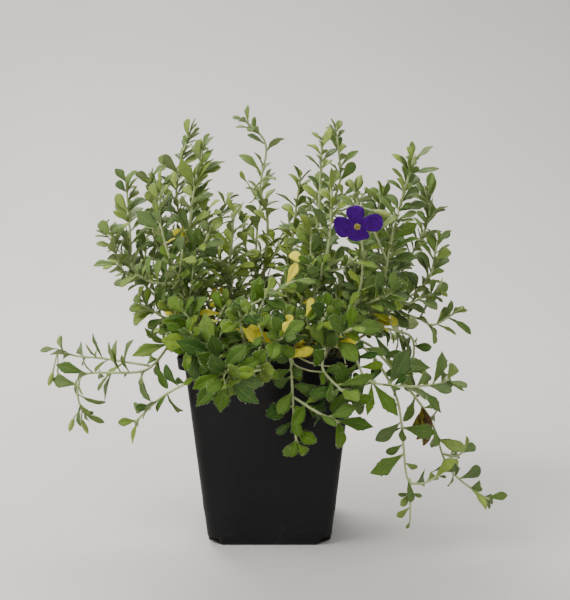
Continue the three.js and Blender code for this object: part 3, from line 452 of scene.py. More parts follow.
def pot_half(z):
    """Half width of the pot's outside at a height."""
    if z > POT_HEIGHT - LIP_HEIGHT:
        return LIP_HALF_TOP
    if z > KNEE_HEIGHT:
        share = (z - KNEE_HEIGHT) / (POT_HEIGHT - LIP_HEIGHT - KNEE_HEIGHT)
        return KNEE_HALF + (WALL_HALF_TOP - KNEE_HALF) * share
    return FOOT_HALF + ((KNEE_HALF - FOOT_HALF) * (z - FOOT_HEIGHT)) / (KNEE_HEIGHT - FOOT_HEIGHT)


def meets_pot(p):
    """True where a leaf would touch the pot, the soil or the ground."""
    out = max(abs(p[0]), abs(p[1]))
    if p[2] < CLEAR_GROUND:
        return True
    if out < LIP_HALF_TOP - WALL - CLEAR_LIP_INSIDE:
        return p[2] < SOIL_CROWN + CLEAR_SOIL
    return p[2] - POT_HEIGHT < CLEAR_POT and out < pot_half(p[2]) + CLEAR_POT


def stem_path(start, way, owner, free_from, crowd):
    """A stem's path, bowed to the back or the front where it would brush an earlier one."""
    best = None
    ends = [start, *way]
    last = len(ends) - 1
    for bow in BOWS:
        points = [(p[0], p[1] + bow * math.sin(math.pi * (i / last)), p[2])
                  for i, p in enumerate(ends)]
        if len(way) == 1:
            middle = times(add(start, way[0]), 0.5)
            points.insert(1, (middle[0], middle[1] + bow * SHORT_BOW, middle[2] - SHORT_SAG))
        path = coarse_path(path_through(points))
        beyond = path.points(1)[free_from + 1 :]
        clashes = sum(1 for p in beyond if meets_pot(p) or crowd.takes(p, owner, STEM_CLEAR))
        if best is None or clashes < best[0]:
            best = (clashes, path)
        if not clashes:
            break
    return best[1]


class Blade:
    """A leaf's place: root, the way it points, upper side, length, half width, curl and fold."""

    def __init__(self, spot, turn, splay, lift, length, half, curl, fold, glance):
        point, direction = spot
        reference = (1, 0, 0) if abs(direction[1]) > 0.85 else (0, 1, 0)
        a = unit(cross(direction, reference))
        b = cross(direction, a)
        turned, leaned = math.radians(turn), math.radians(splay)
        outward = add(times(a, math.cos(turned)), times(b, math.sin(turned)))
        lean = add(times(direction, math.cos(leaned)), times(outward, math.sin(leaned)))
        self.along = unit(add(lean, (0, 0, lift)))
        away = unit((point[0], point[1], 0.1))
        face = add(times(direction, 0.4), add(times(away, 0.4 + glance), TO_LIGHT))
        self.up = unit(less(face, times(self.along, dot(face, self.along))))
        self.root, self.length, self.half, self.curl, self.fold = point, length, half, curl, fold
        self.age, self.tone, self.frost, self.young = 0.0, 0.5, 0.5, 0.3

    def point(self, share, aside, rise=0):
        """A point of the blade: a share of the way along it, and a distance to its side."""
        angle = self.curl * share
        across = cross(self.along, self.up)
        normal = add(times(self.up, math.cos(angle)), times(self.along, math.sin(angle)))
        forward = (math.sin(angle) / self.curl) * self.length
        drop = ((1 - math.cos(angle)) / self.curl) * self.length
        rib = add(self.root, add(times(self.along, forward), times(self.up, -drop)))
        risen = abs(aside) * math.sin(self.fold) + rise
        return add(rib, add(times(across, aside * math.cos(self.fold)), times(normal, risen)))

    def crowd_points(self):
        """Points that stand for the blade in the crowd."""
        found = []
        rows = math.ceil((self.length * 0.75) / CROWD_STEP)
        for row in range(rows + 1):
            share = 0.25 + (0.75 * row) / rows
            width = self.half * min(1, (share - 0.05) * 1.8, (1 - share) * 4)
            columns = max(1, math.ceil(width / CROWD_STEP))
            for i in range(-columns, columns + 1):
                found.append(self.point(share, (width * i) / columns))
        return found


def grow_leaves(path, plan, owner, seed, crowd):
    """The leaves of one stem, from the lowest to the tip. A crowded one bends or is left out."""
    leaves = []
    for i in range(plan.leaves):
        u = i / (plan.leaves - 1)
        share = min(plan.bare + (1 - plan.bare) * (1 - math.pow(1 - u, 1.5)), LAST_LEAF)
        spot = path.spot(path.length * share)
        young = max(0, (u - YOUNG_FROM) / 0.35)
        grown = 0.82 + 0.18 * math.sin(math.pi * min(1, u * 1.3)) - 0.2 * young
        if plan.rosette:
            grown = 1 - 0.3 * young * young
        length = plan.size * LEAF_GROWTH * grown * (0.9 + 0.3 * chance(seed, i, 1))
        narrow = not plan.rosette and chance(seed, i, 2) < NARROW_SHARE
        broad = ROSETTE_BROADER if plan.rosette else BROADER if plan.broad else 0
        slim = NARROW_HALF if narrow else LEAF_HALF + broad + 0.05 * chance(seed, i, 3)
        half = length * slim
        spread = 86 - 40 * u * u if plan.rosette else 60 - 30 * u * u
        splay = spread + 16 * (chance(seed, i, 4) - 0.5)
        turn = plan.turn + i * GOLDEN_TURN + 30 * (chance(seed, i, 5) - 0.5)
        curl = 0.2 + 0.7 * chance(seed, i, 6)
        fold = 0.14 + 0.3 * chance(seed, i, 7)
        glance = 0.9 * (chance(seed, i, 8) - 0.4)
        for turned, tipped, scale in BENDS:
            form = (length * scale, half * scale, curl, fold, glance)
            blade = Blade(spot, turn + turned, splay + tipped, LIFT, *form)
            points = blade.crowd_points()
            if any(meets_pot(p) or crowd.takes(p, owner, CLEAR_OTHER) for p in points):
                continue
            crowd.settle(points, owner, CLEAR_OWN_LEAF)
            blade.young = u
            leaves.append(blade)
            break
    return leaves


class Plant:
    """A grown shoot: its plan, stems and leaves."""

    def __init__(self, plan, owner, main):
        self.plan, self.owner, self.main = plan, owner, main
        self.side = None
        self.main_leaves, self.side_leaves, self.twigs = [], [], []


def flower_frame():
    """The way the flower faces, and its right and up."""
    facing = unit(FLOWER_FACING)
    right = unit(cross((0, 0, 1), facing))
    return facing, right, cross(facing, right)


def flower_way(degrees, reach=1):
    """A step from the flower's middle to a side, as seen from its face."""
    _, right, up = flower_frame()
    turned = math.radians(degrees)
    return add(times(right, reach * math.cos(turned)), times(up, reach * math.sin(turned)))


def flower_points():
    """Points that stand for the flower, so that leaves keep clear of it."""
    facing = flower_frame()[0]
    found = []
    for r in range(0, FLOWER_REACH + 1, 2):
        for a in range(0, 360, 30):
            out = flower_way(a, r)
            for lift in (-2, 1, 4):
                found.append(add(add(FLOWER_AT, out), times(facing, lift)))
    along_bud = unit(LONG_BUD_WAY)
    found += [add(STALK_WAY, times(along_bud, d)) for d in range(1, LONG_BUD_LENGTH + 1, 2)]
    return found


def grow_plant():
    """All shoots: first every stem, so that no leaf grows across one, and then the leaves."""
    crowd = Crowd()
    plants = []
    for owner, plan in enumerate(SHOOTS):
        foot = (plan.root[0], plan.root[1], ROOT_TOP)
        main = stem_path(foot, plan.way, owner, MAIN_FREE, crowd)
        crowd.settle(main.points(STEM_POINTS), owner, 0)
        plants.append(Plant(plan, owner, main))
    for plant in plants:
        side = plant.plan.side
        if side:
            start = plant.main.spot(plant.main.length * side.at)[0]
            plant.side = stem_path(start, side.way, plant.owner, SIDE_FREE, crowd)
            crowd.settle(plant.side.points(STEM_POINTS), plant.owner, CLEAR_OWN_STEM)
    flowering = next(p for p in plants if p.plan.flower)
    crowd.settle(flower_points(), flowering.owner, CLEAR_OTHER)
    for plant in plants:
        plant.main_leaves = grow_leaves(plant.main, plant.plan, plant.owner, plant.owner * 4, crowd)
        if plant.side:
            seed = plant.owner * 4 + 1
            plant.side_leaves = grow_leaves(plant.side, plant.plan.side, plant.owner, seed, crowd)
    return plants, crowd


# How wide a blade is along its length, as a share of its half width.
TOOTHED_AT = (
    0, 0.06, 0.14, 0.24, 0.34, 0.43, 0.5, 0.56, 0.61, 0.65, 0.69, 0.735, 0.78, 0.82, 0.87, 0.92,
    0.96, 1,
)
TOOTHED_WIDE = (
    0.16, 0.15, 0.2, 0.34, 0.55, 0.75, 0.9, 1.0, 1.06, 0.9, 0.86, 0.9, 0.7, 0.6, 0.42, 0.28, 0.15,
    0.02,
)
PLAIN_AT = (0, 0.06, 0.14, 0.24, 0.34, 0.44, 0.53, 0.61, 0.69, 0.76, 0.83, 0.89, 0.94, 0.975, 1)
PLAIN_WIDE = (0.16, 0.15, 0.2, 0.34, 0.53, 0.74, 0.91, 1.01, 1.03, 0.95, 0.8, 0.6, 0.4, 0.22, 0.03)
SMALL_AT = (0, 0.1, 0.26, 0.44, 0.6, 0.74, 0.87, 0.95, 1)
SMALL_WIDE = (0.2, 0.19, 0.38, 0.7, 0.97, 1.03, 0.82, 0.48, 0.07)
FINE_ACROSS = (-1, -0.74, -0.42, -0.13, 0, 0.13, 0.42, 0.74, 1)
SMALL_ACROSS = (-1, -0.5, 0, 0.5, 1)
TOOTHED_FROM = 16.5

# The places of a shoot's three materials.
LEAF, STEM, HAIR = range(3)

# Stems in millimetres: the radius at the foot and at the tip, and where twigs may start.
MAIN_RADII = (0.85, 0.48)
SIDE_RADII = (0.66, 0.44)
TWIG_RADII = (0.42, 0.32)
TWIG_PLACE = (0.2, 0.62)
TWIG_LENGTH = (13, 24)
TWIG_TRIES = 6
STALK_RADIUS = 0.5
BUD_STALK_RADII = (0.42, 0.4, 0.5)
DRY_RADII = (0.6, 0.35)
STEM_SIDES = 8
JOINT_SWELL = 0.22
JOINT_REACH = 1.4

# A blade's relief, as shares of its half width or of its thickness.
WAVE_LEAST = 0.05
WAVE_MORE = 0.05
DROOP = 0.10
GROOVE = 0.14
KEEL = 0.8
MIDRIB_WIDE = 0.16
KEEL_WIDE = 0.15

# Leaves and hairs in millimetres. A hair has a least and a greatest length and half a width.
LEAF_THICK = 0.5
SMALL_THICK = 0.4
STEM_HAIR = (0.45, 0.9, 0.055)
RIM_HAIR = (0.4, 0.85, 0.045)
HAIR_JITTER = 0.35
HAIRS_PER_MM = 2.2
TOOTHED_HAIRS, PLAIN_HAIRS, HEART_HAIRS, SMALL_HAIRS = 40, 32, 24, 12
SMALL_LENGTH = (8, 13)
TUFT_LENGTH = (5.6, 8.2)
SMALL_SLIMNESS = (0.2, 0.27)


class Pile:
    """Points, faces, tints and blade coordinates that become one mesh."""

    def __init__(self):
        self.points, self.tints, self.places = [], [], []
        self.loops, self.totals, self.slots = [], [], []
        self.count = 0

    def put(self, points, faces, tint, place=None, slot=0):
        """Adds points in millimetres and faces that are all of one kind, threes or fours."""
        points = np.asarray(points, float).reshape(-1, 3)
        tint = np.asarray(tint, float)
        n = len(points)
        self.points.append(points)
        self.tints.append(np.broadcast_to(tint, (n, 4)) if tint.ndim == 1 else tint)
        self.places.append(np.zeros((n, 2)) if place is None else np.asarray(place, float))
        self.count += n
        self.more(faces, n, slot)

    def more(self, faces, back, slot=0):
        """Adds faces between the last points in the pile, numbered from so far back."""
        faces = np.asarray(faces, int)
        self.loops.append((faces + self.count - back).ravel())
        self.totals.append(np.full(len(faces), faces.shape[1]))
        self.slots.append(np.full(len(faces), slot))

    def make(self, name, materials):
        """The mesh as an object, smooth, with its tint and its blade coordinates."""
        points = np.concatenate(self.points) * MM
        loops = np.concatenate(self.loops)
        totals = np.concatenate(self.totals)
        mesh = bpy.data.meshes.new(name)
        mesh.vertices.add(len(points))
        mesh.vertices.foreach_set("co", points.astype(np.float32).ravel())
        mesh.loops.add(len(loops))
        mesh.loops.foreach_set("vertex_index", loops.astype(np.int32))
        mesh.polygons.add(len(totals))
        starts = np.concatenate(([0], np.cumsum(totals)[:-1]))
        mesh.polygons.foreach_set("loop_start", starts.astype(np.int32))
        mesh.polygons.foreach_set("loop_total", totals.astype(np.int32))
        for material in materials:
            mesh.materials.append(material)
        mesh.polygons.foreach_set("material_index", np.concatenate(self.slots).astype(np.int32))
        mesh.polygons.foreach_set("use_smooth", np.ones(len(totals), bool))
        tint = mesh.attributes.new("tint", "FLOAT_COLOR", "POINT")
        tint.data.foreach_set("color", np.concatenate(self.tints).astype(np.float32).ravel())
        layer = mesh.uv_layers.new(name="blade")
        layer.data.foreach_set("uv", np.concatenate(self.places)[loops].astype(np.float32).ravel())
        mesh.update(calc_edges=True)
        mesh.validate()
        return linked(name, mesh)


def linked(name, data):
    """A new object in the scene."""
    piece = bpy.data.objects.new(name, data)
    bpy.context.scene.collection.objects.link(piece)
    return piece


def seat(piece, slot, *nodes):
    """The piece rides with the part and stands for its nodes, whose parts it hides. The slot is not
    used.
    """
    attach(piece, "root")
    if nodes:
        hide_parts(*nodes)
    return piece


def ring_faces(rings, around):
    """Fours between rings of equally many points."""
    first = np.arange(rings - 1)[:, None] * around + np.arange(around)[None, :]
    second = np.arange(rings - 1)[:, None] * around + (np.arange(around)[None, :] + 1) % around
    faces = np.stack([first, second, second + around, first + around], -1)
    return faces.reshape(-1, 4)


def end_caps(rings, around):
    """Threes that close the first ring and the last."""
    last = (rings - 1) * around
    return ([(0, i + 1, i) for i in range(1, around - 1)]
            + [(last, last + i, last + i + 1) for i in range(1, around - 1)])


def unit_rows(rows):
    """Each row's direction, one long."""
    return rows / (np.linalg.norm(rows, axis=1, keepdims=True) + TINY)


def circle(around, across, beside):
    """Points round a circle of radius one."""
    turned = 2 * np.pi * np.arange(around) / around
    return np.cos(turned)[:, None] * across + np.sin(turned)[:, None] * beside


def put_shell(pile, top, bottom, edge, s, v, tone, age=0.0, frost=0.0, foot_open=False):
    """A thin closed shell: points above and below that meet at its two edges.

    A row of them is s of the way along the shell, and a column is v of the way to its side.
    """
    top[:, 0], top[:, -1] = edge[:, 0], edge[:, -1]
    rows, columns = top.shape[:2]
    ring = np.concatenate([top, bottom[:, -2:0:-1]], axis=1)
    around = ring.shape[1]
    u = np.broadcast_to((v + 1) / 2, (rows, columns))
    u = np.concatenate([u, u[:, -2:0:-1]], axis=1)
    uv = np.stack([u, np.broadcast_to(s, (rows, around))], -1)
    under = np.concatenate([np.zeros((rows, columns)), np.ones((rows, columns - 2))], axis=1)
    tint = np.stack([np.full_like(under, tone), np.full_like(under, age), under,
                     np.full_like(under, frost)], -1)
    pile.put(ring.reshape(-1, 3), ring_faces(rows, around), tint.reshape(-1, 4), uv.reshape(-1, 2))
    last = (rows - 1) * around
    caps = [(last + i, last + i + 1, last + around - i - 1) for i in range(1, columns - 1)]
    caps += [(last, last + 1, last + around - 1)]
    if not foot_open:
        caps += [(i + 1, i, around - i - 1) for i in range(1, columns - 1)] + [(1, 0, around - 1)]
    pile.more(caps, rows * around)


def put_blade(pile, blade, at, wide, across, thick, draw, shift=(0, 0, 0), toothed=False):
    """A thin leaf with a sunken midrib, wavy edges and a slightly twisted, recurved blade."""
    s = np.array(at)[:, None]
    v = np.array(across)[None, :]
    w = np.array(wide)[:, None] * blade.half
    forward = 0.03 * np.abs(v) ** 3 * (np.array(wide)[:, None] > 0.7) if toothed else 0.0
    place_s = np.clip(s + forward, 0, 1)
    wave = (WAVE_LEAST + WAVE_MORE * draw.rand()) * blade.half
    ripple = wave * np.sin(2 * np.pi * (s * (1.6 + draw.rand()) + draw.rand())) * v * np.abs(v)
    droop = DROOP * blade.half * np.abs(v) ** 3 * draw.rand()
    groove = GROOVE * np.exp(-((v / MIDRIB_WIDE) ** 2)) * (1 - s)
    body = thick * np.sqrt(np.clip(1 - 0.8 * v * v, 0, 1))
    body = body * (0.55 + 0.45 * np.sin(np.pi * np.clip(s * 1.1, 0, 1)))
    keel = thick * KEEL * np.exp(-((v / KEEL_WIDE) ** 2)) * (1 - 0.8 * s)
    along = np.array(blade.along)
    up = np.array(blade.up)
    side = np.cross(along, up)
    turn = (draw.rand() - 0.5) * 0.7
    bend = (draw.rand() - 0.5) * 0.5
    angle = blade.curl * place_s
    normal = up * np.cos(angle)[..., None] + along * np.sin(angle)[..., None]
    run = np.sin(angle) / blade.curl * blade.length
    drop = (1 - np.cos(angle)) / blade.curl * blade.length
    rib = np.array(blade.root) + along * run[..., None] - up * drop[..., None]
    rib = rib + side * (bend * blade.length * 0.12 * np.sin(np.pi * s))[..., None]
    rib = rib + np.array(shift) * (1 - s)[..., None]
    roll = turn * s
    beside = side * np.cos(roll)[..., None] + normal * np.sin(roll)[..., None]
    over = normal * np.cos(roll)[..., None] - side * np.sin(roll)[..., None]
    aside = v * w
    rise = np.abs(aside) * math.sin(blade.fold)
    rise = rise + (ripple - droop) * np.sin(np.pi * np.clip(s, 0, 1))
    flat = rib + beside * (aside * math.cos(blade.fold))[..., None]
    top = flat + over * (rise + body / 2 - groove * body)[..., None]
    bottom = flat + over * (rise - body / 2 - keel)[..., None]
    edge = flat + over * rise[..., None]
    put_shell(pile, top, bottom, edge, s, v, blade.tone, blade.age, blade.frost, foot_open=True)
    return edge, over


def put_hairs(pile, roots, ways, draw, hair):
    """Short pale hairs as single slim triangles."""
    low, high, wide = hair
    n = len(roots)
    ways = unit_rows(unit_rows(ways) + draw.normal(0, HAIR_JITTER, (n, 3)))
    across = unit_rows(np.cross(ways, draw.normal(0, 1, (n, 3))))
    long = draw.uniform(low, high, (n, 1))
    points = np.stack([roots - across * wide, roots + across * wide, roots + ways * long], 1)
    faces = np.arange(n * 3).reshape(n, 3)
    pile.put(points.reshape(-1, 3), faces, (0.5, 0, 0, 0), None, HAIR)


def put_tube(pile, line, radii, tints):
    """A round stem along a line, with its radius and tint at each point."""
    sides = STEM_SIDES
    line = np.asarray(line, float)
    ahead = unit_rows(np.gradient(line, axis=0))
    across = np.array([1.0, 0, 0])
    rings, uv = [], []
    run = 0.0
    for i, p in enumerate(line):
        across = across - ahead[i] * across.dot(ahead[i])
        across = across / (np.linalg.norm(across) + TINY)
        rings.append(p + radii[i] * circle(sides, across, np.cross(ahead[i], across)))
        run += 0 if i == 0 else float(np.linalg.norm(p - line[i - 1]))
        uv.append(np.stack([np.arange(sides) / sides, np.full(sides, run * 0.05)], -1))
    n = len(line)
    tint = np.repeat(np.asarray(tints, float), sides, axis=0)
    pile.put(np.concatenate(rings), ring_faces(n, sides), tint, np.concatenate(uv), STEM)
    pile.more(end_caps(n, sides), n * sides, STEM)
    return np.stack(rings)


def shade(colour, share):
    """A colour made darker or lighter."""
    return tuple(share * c for c in colour)


class Graph:
    """A short way to write a material's nodes."""

    def __init__(self, name, roughness, sheen=0.0, sheen_tint=(1, 1, 1, 1), specular=0.4):
        self.material = bpy.data.materials.new(name)
        self.material.use_nodes = True
        self.tree = self.material.node_tree
        self.shader = self.tree.nodes["Principled BSDF"]
        finish_values = {"Roughness": roughness, "Sheen Weight": sheen, "Sheen Roughness": 0.45,
                         "Sheen Tint": sheen_tint, "Specular IOR Level": specular}
        for key, value in finish_values.items():
            self.feed(self.shader.inputs[key], value)
        self.object = self.node("ShaderNodeTexCoord").outputs["Object"]

    def node(self, kind, inputs=None, **settings):
        """A new node with its settings, and with values or links at its inputs."""
        made = self.tree.nodes.new(kind)
        for key, value in settings.items():
            setattr(made, key, value)
        for key, value in (inputs or {}).items():
            self.feed(made.inputs[key], value)
        return made

    def feed(self, socket, value):
        """Links a node's output to an input, or sets the input to a value."""
        if isinstance(value, bpy.types.NodeSocket):
            self.tree.links.new(value, socket)
        else:
            socket.default_value = value

    def maths(self, kind, *values):
        return self.node("ShaderNodeMath", dict(enumerate(values)), operation=kind).outputs[0]

    def times(self, first, second):
        return self.maths("MULTIPLY", first, second)

    def plus(self, first, second):
        return self.maths("ADD", first, second)

    def stripes(self, value):
        """Bands one unit apart: 0 in the middle of each and 0.5 at its edges."""
        fraction = self.maths("FRACT", value)
        return self.maths("ABSOLUTE", self.maths("SUBTRACT", fraction, 0.5))

    def noise(self, scale, detail=3.0, rough=0.55, at=None):
        """Noise in the object's own frame. The scale counts patches in a metre."""
        place = self.object if at is None else at
        inputs = {"Vector": place, "Scale": scale, "Detail": detail, "Roughness": rough}
        return self.node("ShaderNodeTexNoise", inputs).outputs[0]

    def cells(self, scale):
        """How far a point is from the middle of its grain."""
        inputs = {"Vector": self.object, "Scale": scale}
        return self.node("ShaderNodeTexVoronoi", inputs).outputs["Distance"]

    def smooth(self, value, low, high, out_low=0.0, out_high=1.0):
        """A soft step from one level to another while a value runs from low to high."""
        inputs = {"Value": value, "From Min": low, "From Max": high,
                  "To Min": out_low, "To Max": out_high}
        made = self.node("ShaderNodeMapRange", inputs, interpolation_type="SMOOTHSTEP")
        return made.outputs["Result"]

    def ramp(self, value, *stops):
        """A colour that follows a value through the stops."""
        made = self.node("ShaderNodeValToRGB", {"Fac": value})
        elements = made.color_ramp.elements
        elements[0].position, elements[0].color = stops[0][0], (*stops[0][1], 1)
        elements[1].position, elements[1].color = stops[-1][0], (*stops[-1][1], 1)
        for place, colour in stops[1:-1]:
            element = elements.new(place)
            element.color = (*colour, 1)
        return made.outputs["Color"]

    def mix(self, share, first, second):
        """Two colours, mixed. Inputs 6 and 7 are the node's colours."""
        colours = [(*c, 1) if isinstance(c, tuple) else c for c in (first, second)]
        inputs = {"Factor": share, 6: colours[0], 7: colours[1]}
        return self.node("ShaderNodeMix", inputs, data_type="RGBA").outputs[2]

    def blend(self, first, value, low, high, most, second):
        """The first colour, turning into the second by up to most as a value passes a range."""
        return self.mix(self.smooth(value, low, high, 0.0, most), first, second)

    def bump(self, height, strength, distance=0.0003):
        """Relief from a height, at most a distance in metres."""
        inputs = {"Strength": strength, "Distance": distance, "Height": height}
        self.feed(self.shader.inputs["Normal"], self.node("ShaderNodeBump", inputs).outputs[0])

    def tint(self):
        """The mesh's tint as its tone, its age, its underside and its frost of down."""
        made = self.node("ShaderNodeAttribute", attribute_name="tint")
        parts = self.node("ShaderNodeSeparateColor")
        self.tree.links.new(made.outputs["Color"], parts.inputs[0])
        return parts.outputs[0], parts.outputs[1], parts.outputs[2], made.outputs["Alpha"]

    def blade(self):
        """How far a point is from the midrib, and how far along the blade."""
        made = self.node("ShaderNodeUVMap", uv_map="blade")
        parts = self.node("ShaderNodeSeparateXYZ")
        self.tree.links.new(made.outputs["UV"], parts.inputs[0])
        aside = self.maths("ABSOLUTE", self.maths("SUBTRACT", parts.outputs[0], 0.5))
        return aside, parts.outputs[1]

    def done(self, colour, roughness=None):
        """The finished material."""
        self.feed(self.shader.inputs["Base Color"], colour)
        if roughness is not None:
            self.feed(self.shader.inputs["Roughness"], roughness)
        return self.material


def leaf_material(settings):
    """Soft green blade with pale veins and rim, mottling, and yellow or brown where it ages."""
    g = Graph("aubrieta_leaf", 0.58, sheen=0.04, sheen_tint=(0.85, 0.95, 0.6, 1), specular=0.18)
    tone, age, under, frost = g.tint()
    aside, along = g.blade()
    mottle = g.noise(420, 4)
    fine = g.noise(2600, 3)
    dark, light = tuple(settings.dark_green), tuple(settings.light_green)
    middle = tuple(settings.leaf_green)
    # The tone holds painted light on inner leaves and painted shade on leaves in front of the rim,
    # beside young paleness and random tone.
    green = g.ramp(tone, (0.0, dark), (0.5, middle), (1.0, light))
    green = g.blend(green, mottle, 0.35, 0.68, 0.45, shade(middle, 0.62))
    green = g.blend(green, fine, 0.55, 0.75, 0.3, tuple(min(1, 1.5 * c) for c in light))
    band = g.stripes(g.maths("SUBTRACT", g.times(along, 8.0), g.times(aside, 7.0)))
    vein = g.times(g.smooth(band, 0.07, 0.0), g.smooth(aside, 0.46, 0.3))
    rib = g.smooth(aside, 0.055, 0.012)
    rim = g.smooth(aside, 0.43, 0.5)
    pale = tuple(settings.pale_green)
    green = g.mix(g.times(vein, 0.12), green, pale)
    green = g.mix(g.times(rib, 0.09), green, pale)
    green = g.mix(g.times(rim, 0.06), green, pale)
    down = g.times(frost, g.smooth(g.noise(5200, 2), 0.3, 0.7, 0.05, 0.45))
    green = g.mix(down, green, tuple(settings.down_grey))
    green = g.blend(green, along, 0.2, 0.0, 0.7, pale)
    green = g.blend(green, along, 0.95, 1.0, 0.45, (0.06, 0.065, 0.02))
    green = g.mix(g.times(under, 0.55), green, shade(pale, 0.8))
    patch = g.plus(age, g.times(g.maths("SUBTRACT", mottle, 0.5), 0.35))
    yellow = g.blend(green, patch, 0.18, 0.5, 1.0, tuple(settings.aged_yellow))
    brown = g.blend(yellow, patch, 0.78, 0.95, 1.0, tuple(settings.withered_brown))
    rough = g.smooth(fine, 0.3, 0.7, 0.52, 0.72)
    relief = g.plus(g.times(g.plus(rib, vein), -0.6), fine)
    g.bump(relief, 0.5)
    return g.done(brown, rough)


def stem_material(settings):
    """Pale green stem with fine lengthwise streaks, browner and woodier near its foot."""
    g = Graph("aubrieta_stem", 0.65, sheen=0.3, sheen_tint=(0.9, 0.95, 0.8, 1), specular=0.3)
    tone, age, *_ = g.tint()
    streak = g.noise(900, 4)
    fresh = tuple(settings.stem_green)
    green = g.ramp(tone, (0.0, shade(fresh, 0.75)), (1.0, fresh))
    green = g.blend(green, streak, 0.4, 0.7, 0.5, tuple(settings.pale_green))
    wood = g.mix(g.smooth(streak, 0.35, 0.7), (0.21, 0.14, 0.075), (0.36, 0.27, 0.16))
    colour = g.blend(green, age, 0.15, 0.95, 1.0, wood)
    g.bump(g.noise(2400, 3), 0.4)
    return g.done(colour, g.smooth(streak, 0.3, 0.7, 0.55, 0.78))


def hair_material():
    """Pale short hairs."""
    g = Graph("aubrieta_hair", 0.5, sheen=0.2, specular=0.3)
    shade = g.noise(700, 2)
    return g.done(g.ramp(shade, (0.3, (0.42, 0.49, 0.24)), (0.7, (0.68, 0.74, 0.46))))


def petal_material(settings):
    """Velvety violet petal with darker veins, a paler claw and a slightly worn rim."""
    g = Graph("aubrieta_petal", 0.6, specular=0.06)
    under = g.tint()[2]
    aside, along = g.blade()
    soft = g.noise(500, 4)
    fan = g.times(g.maths("DIVIDE", aside, g.plus(along, 0.25)), 26.0)
    band = g.stripes(fan)
    vein = g.times(g.smooth(band, 0.12, 0.0), g.smooth(along, 0.98, 0.6))
    deep, violet = tuple(settings.petal_shade), tuple(settings.petal_violet)
    colour = g.blend(deep, soft, 0.35, 0.68, 1.0, violet)
    colour = g.mix(g.times(vein, 0.55), colour, shade(deep, 0.5))
    colour = g.blend(colour, along, 0.16, 0.04, 0.6, (0.09, 0.02, 0.2))
    colour = g.blend(colour, along, 0.93, 1.0, 0.35, (0.12, 0.012, 0.3))
    colour = g.mix(g.times(under, 0.4), colour, (0.11, 0.02, 0.25))
    g.bump(g.plus(g.times(vein, -1.0), g.noise(3000, 2)), 0.35)
    return g.done(colour, g.smooth(soft, 0.3, 0.7, 0.45, 0.62))


def eye_material(settings):
    """Grainy yellow anthers round a greener throat."""
    g = Graph("aubrieta_eye", 0.7, sheen=0.1, specular=0.25)
    tone = g.tint()[0]
    grain = g.cells(4200)
    colour = g.mix(tone, (0.20, 0.24, 0.05), tuple(settings.eye_yellow))
    colour = g.blend(colour, grain, 0.2, 0.6, 0.5, (0.28, 0.19, 0.04))
    g.bump(grain, 0.6)
    return g.done(colour)


def soil_material(settings):
    """Dark peat with crumbs, painted shade in the low gaps between them, brown fibres and a few
    pale grains.
    """
    g = Graph("potting_soil", 0.95, specular=0.15)
    lump = g.noise(90, 6, 0.65)
    crumb = g.cells(520)
    grain = g.noise(1500, 4, 0.7)
    dark = tuple(settings.soil_brown)
    colour = g.ramp(lump, (0.3, shade(dark, 0.45)), (0.52, dark), (0.72, shade(dark, 2.1)))
    # Painted shade: the low gaps between crumbs, where the relief sinks, are darkened.
    colour = g.blend(colour, crumb, 0.05, 0.55, 0.5, shade(dark, 0.5))
    colour = g.blend(colour, grain, 0.6, 0.72, 0.6, (0.17, 0.10, 0.05))
    relief = g.plus(g.times(crumb, -0.8), grain)
    g.bump(relief, 1.0, 0.0012)
    return g.done(colour)


def crumb_material(settings):
    """Loose crumbs and bark fibres, a little lighter than the soil, and pale grains."""
    g = Graph("soil_crumb", 0.92, specular=0.15)
    tone = g.tint()[0]
    grain = g.noise(1800, 4, 0.7)
    dark = tuple(settings.soil_brown)
    bark, fibre, pale = (0.13, 0.075, 0.035), (0.30, 0.2, 0.1), (0.62, 0.6, 0.54)
    colour = g.ramp(tone, (0.0, dark), (0.55, bark), (0.9, fibre), (1.0, pale))
    colour = g.blend(colour, grain, 0.45, 0.75, 0.6, shade(dark, 0.6))
    g.bump(grain, 0.7, 0.0005)
    return g.done(colour)


def pot_material(settings):
    """Thin moulded plastic: satin black with fine pebbles, flow marks, a painted highlight along
    its sharp edges, and dust.
    """
    g = Graph("pot_plastic", 0.48, specular=0.24)
    parts = g.node("ShaderNodeSeparateXYZ")
    g.tree.links.new(g.object, parts.inputs[0])
    height = parts.outputs[2]
    pebble = g.noise(3200, 2)
    cloud = g.noise(26, 4)
    drawn_out = g.node("ShaderNodeMapping", {"Vector": g.object, "Scale": (1.0, 1.0, 0.12)})
    flow = g.noise(420, 4, 0.6, drawn_out.outputs["Vector"])
    edge = g.node("ShaderNodeNewGeometry").outputs["Pointiness"]
    black = tuple(settings.pot_black)
    colour = g.blend(black, cloud, 0.35, 0.7, 1.0, shade(black, 1.7))
    colour = g.blend(colour, flow, 0.6, 0.8, 0.35, shade(black, 3.2))
    # Painted highlight: sharp edges, found by their pointiness, are made lighter.
    colour = g.blend(colour, edge, 0.53, 0.6, 0.5, shade(black, 3.5))
    dust = g.smooth(g.noise(240, 6, 0.75), 0.5, 0.75)
    dusty = g.times(dust, g.smooth(height, 0.022, 0.0, 0.04, 0.4))
    colour = g.mix(dusty, colour, (0.045, 0.04, 0.034))
    specks = g.smooth(g.noise(900, 3, 0.6), 0.66, 0.74)
    soil_mark = g.times(specks, g.smooth(height, 0.085, 0.1, 0.02, 0.5))
    colour = g.mix(soil_mark, colour, (0.04, 0.028, 0.017))
    rough = g.plus(g.smooth(flow, 0.3, 0.7, 0.4, 0.55), g.times(dusty, 0.3))
    g.bump(g.plus(pebble, g.times(flow, 0.8)), 0.22)
    return g.done(colour, rough)


def stage_material(name, colour):
    """Plain pale ground with the faintest unevenness."""
    g = Graph(name, 0.85, specular=0.2)
    soft = g.noise(6, 2)
    return g.done(g.ramp(soft, (0.3, shade(colour, 0.97)), (0.7, tuple(colour))))


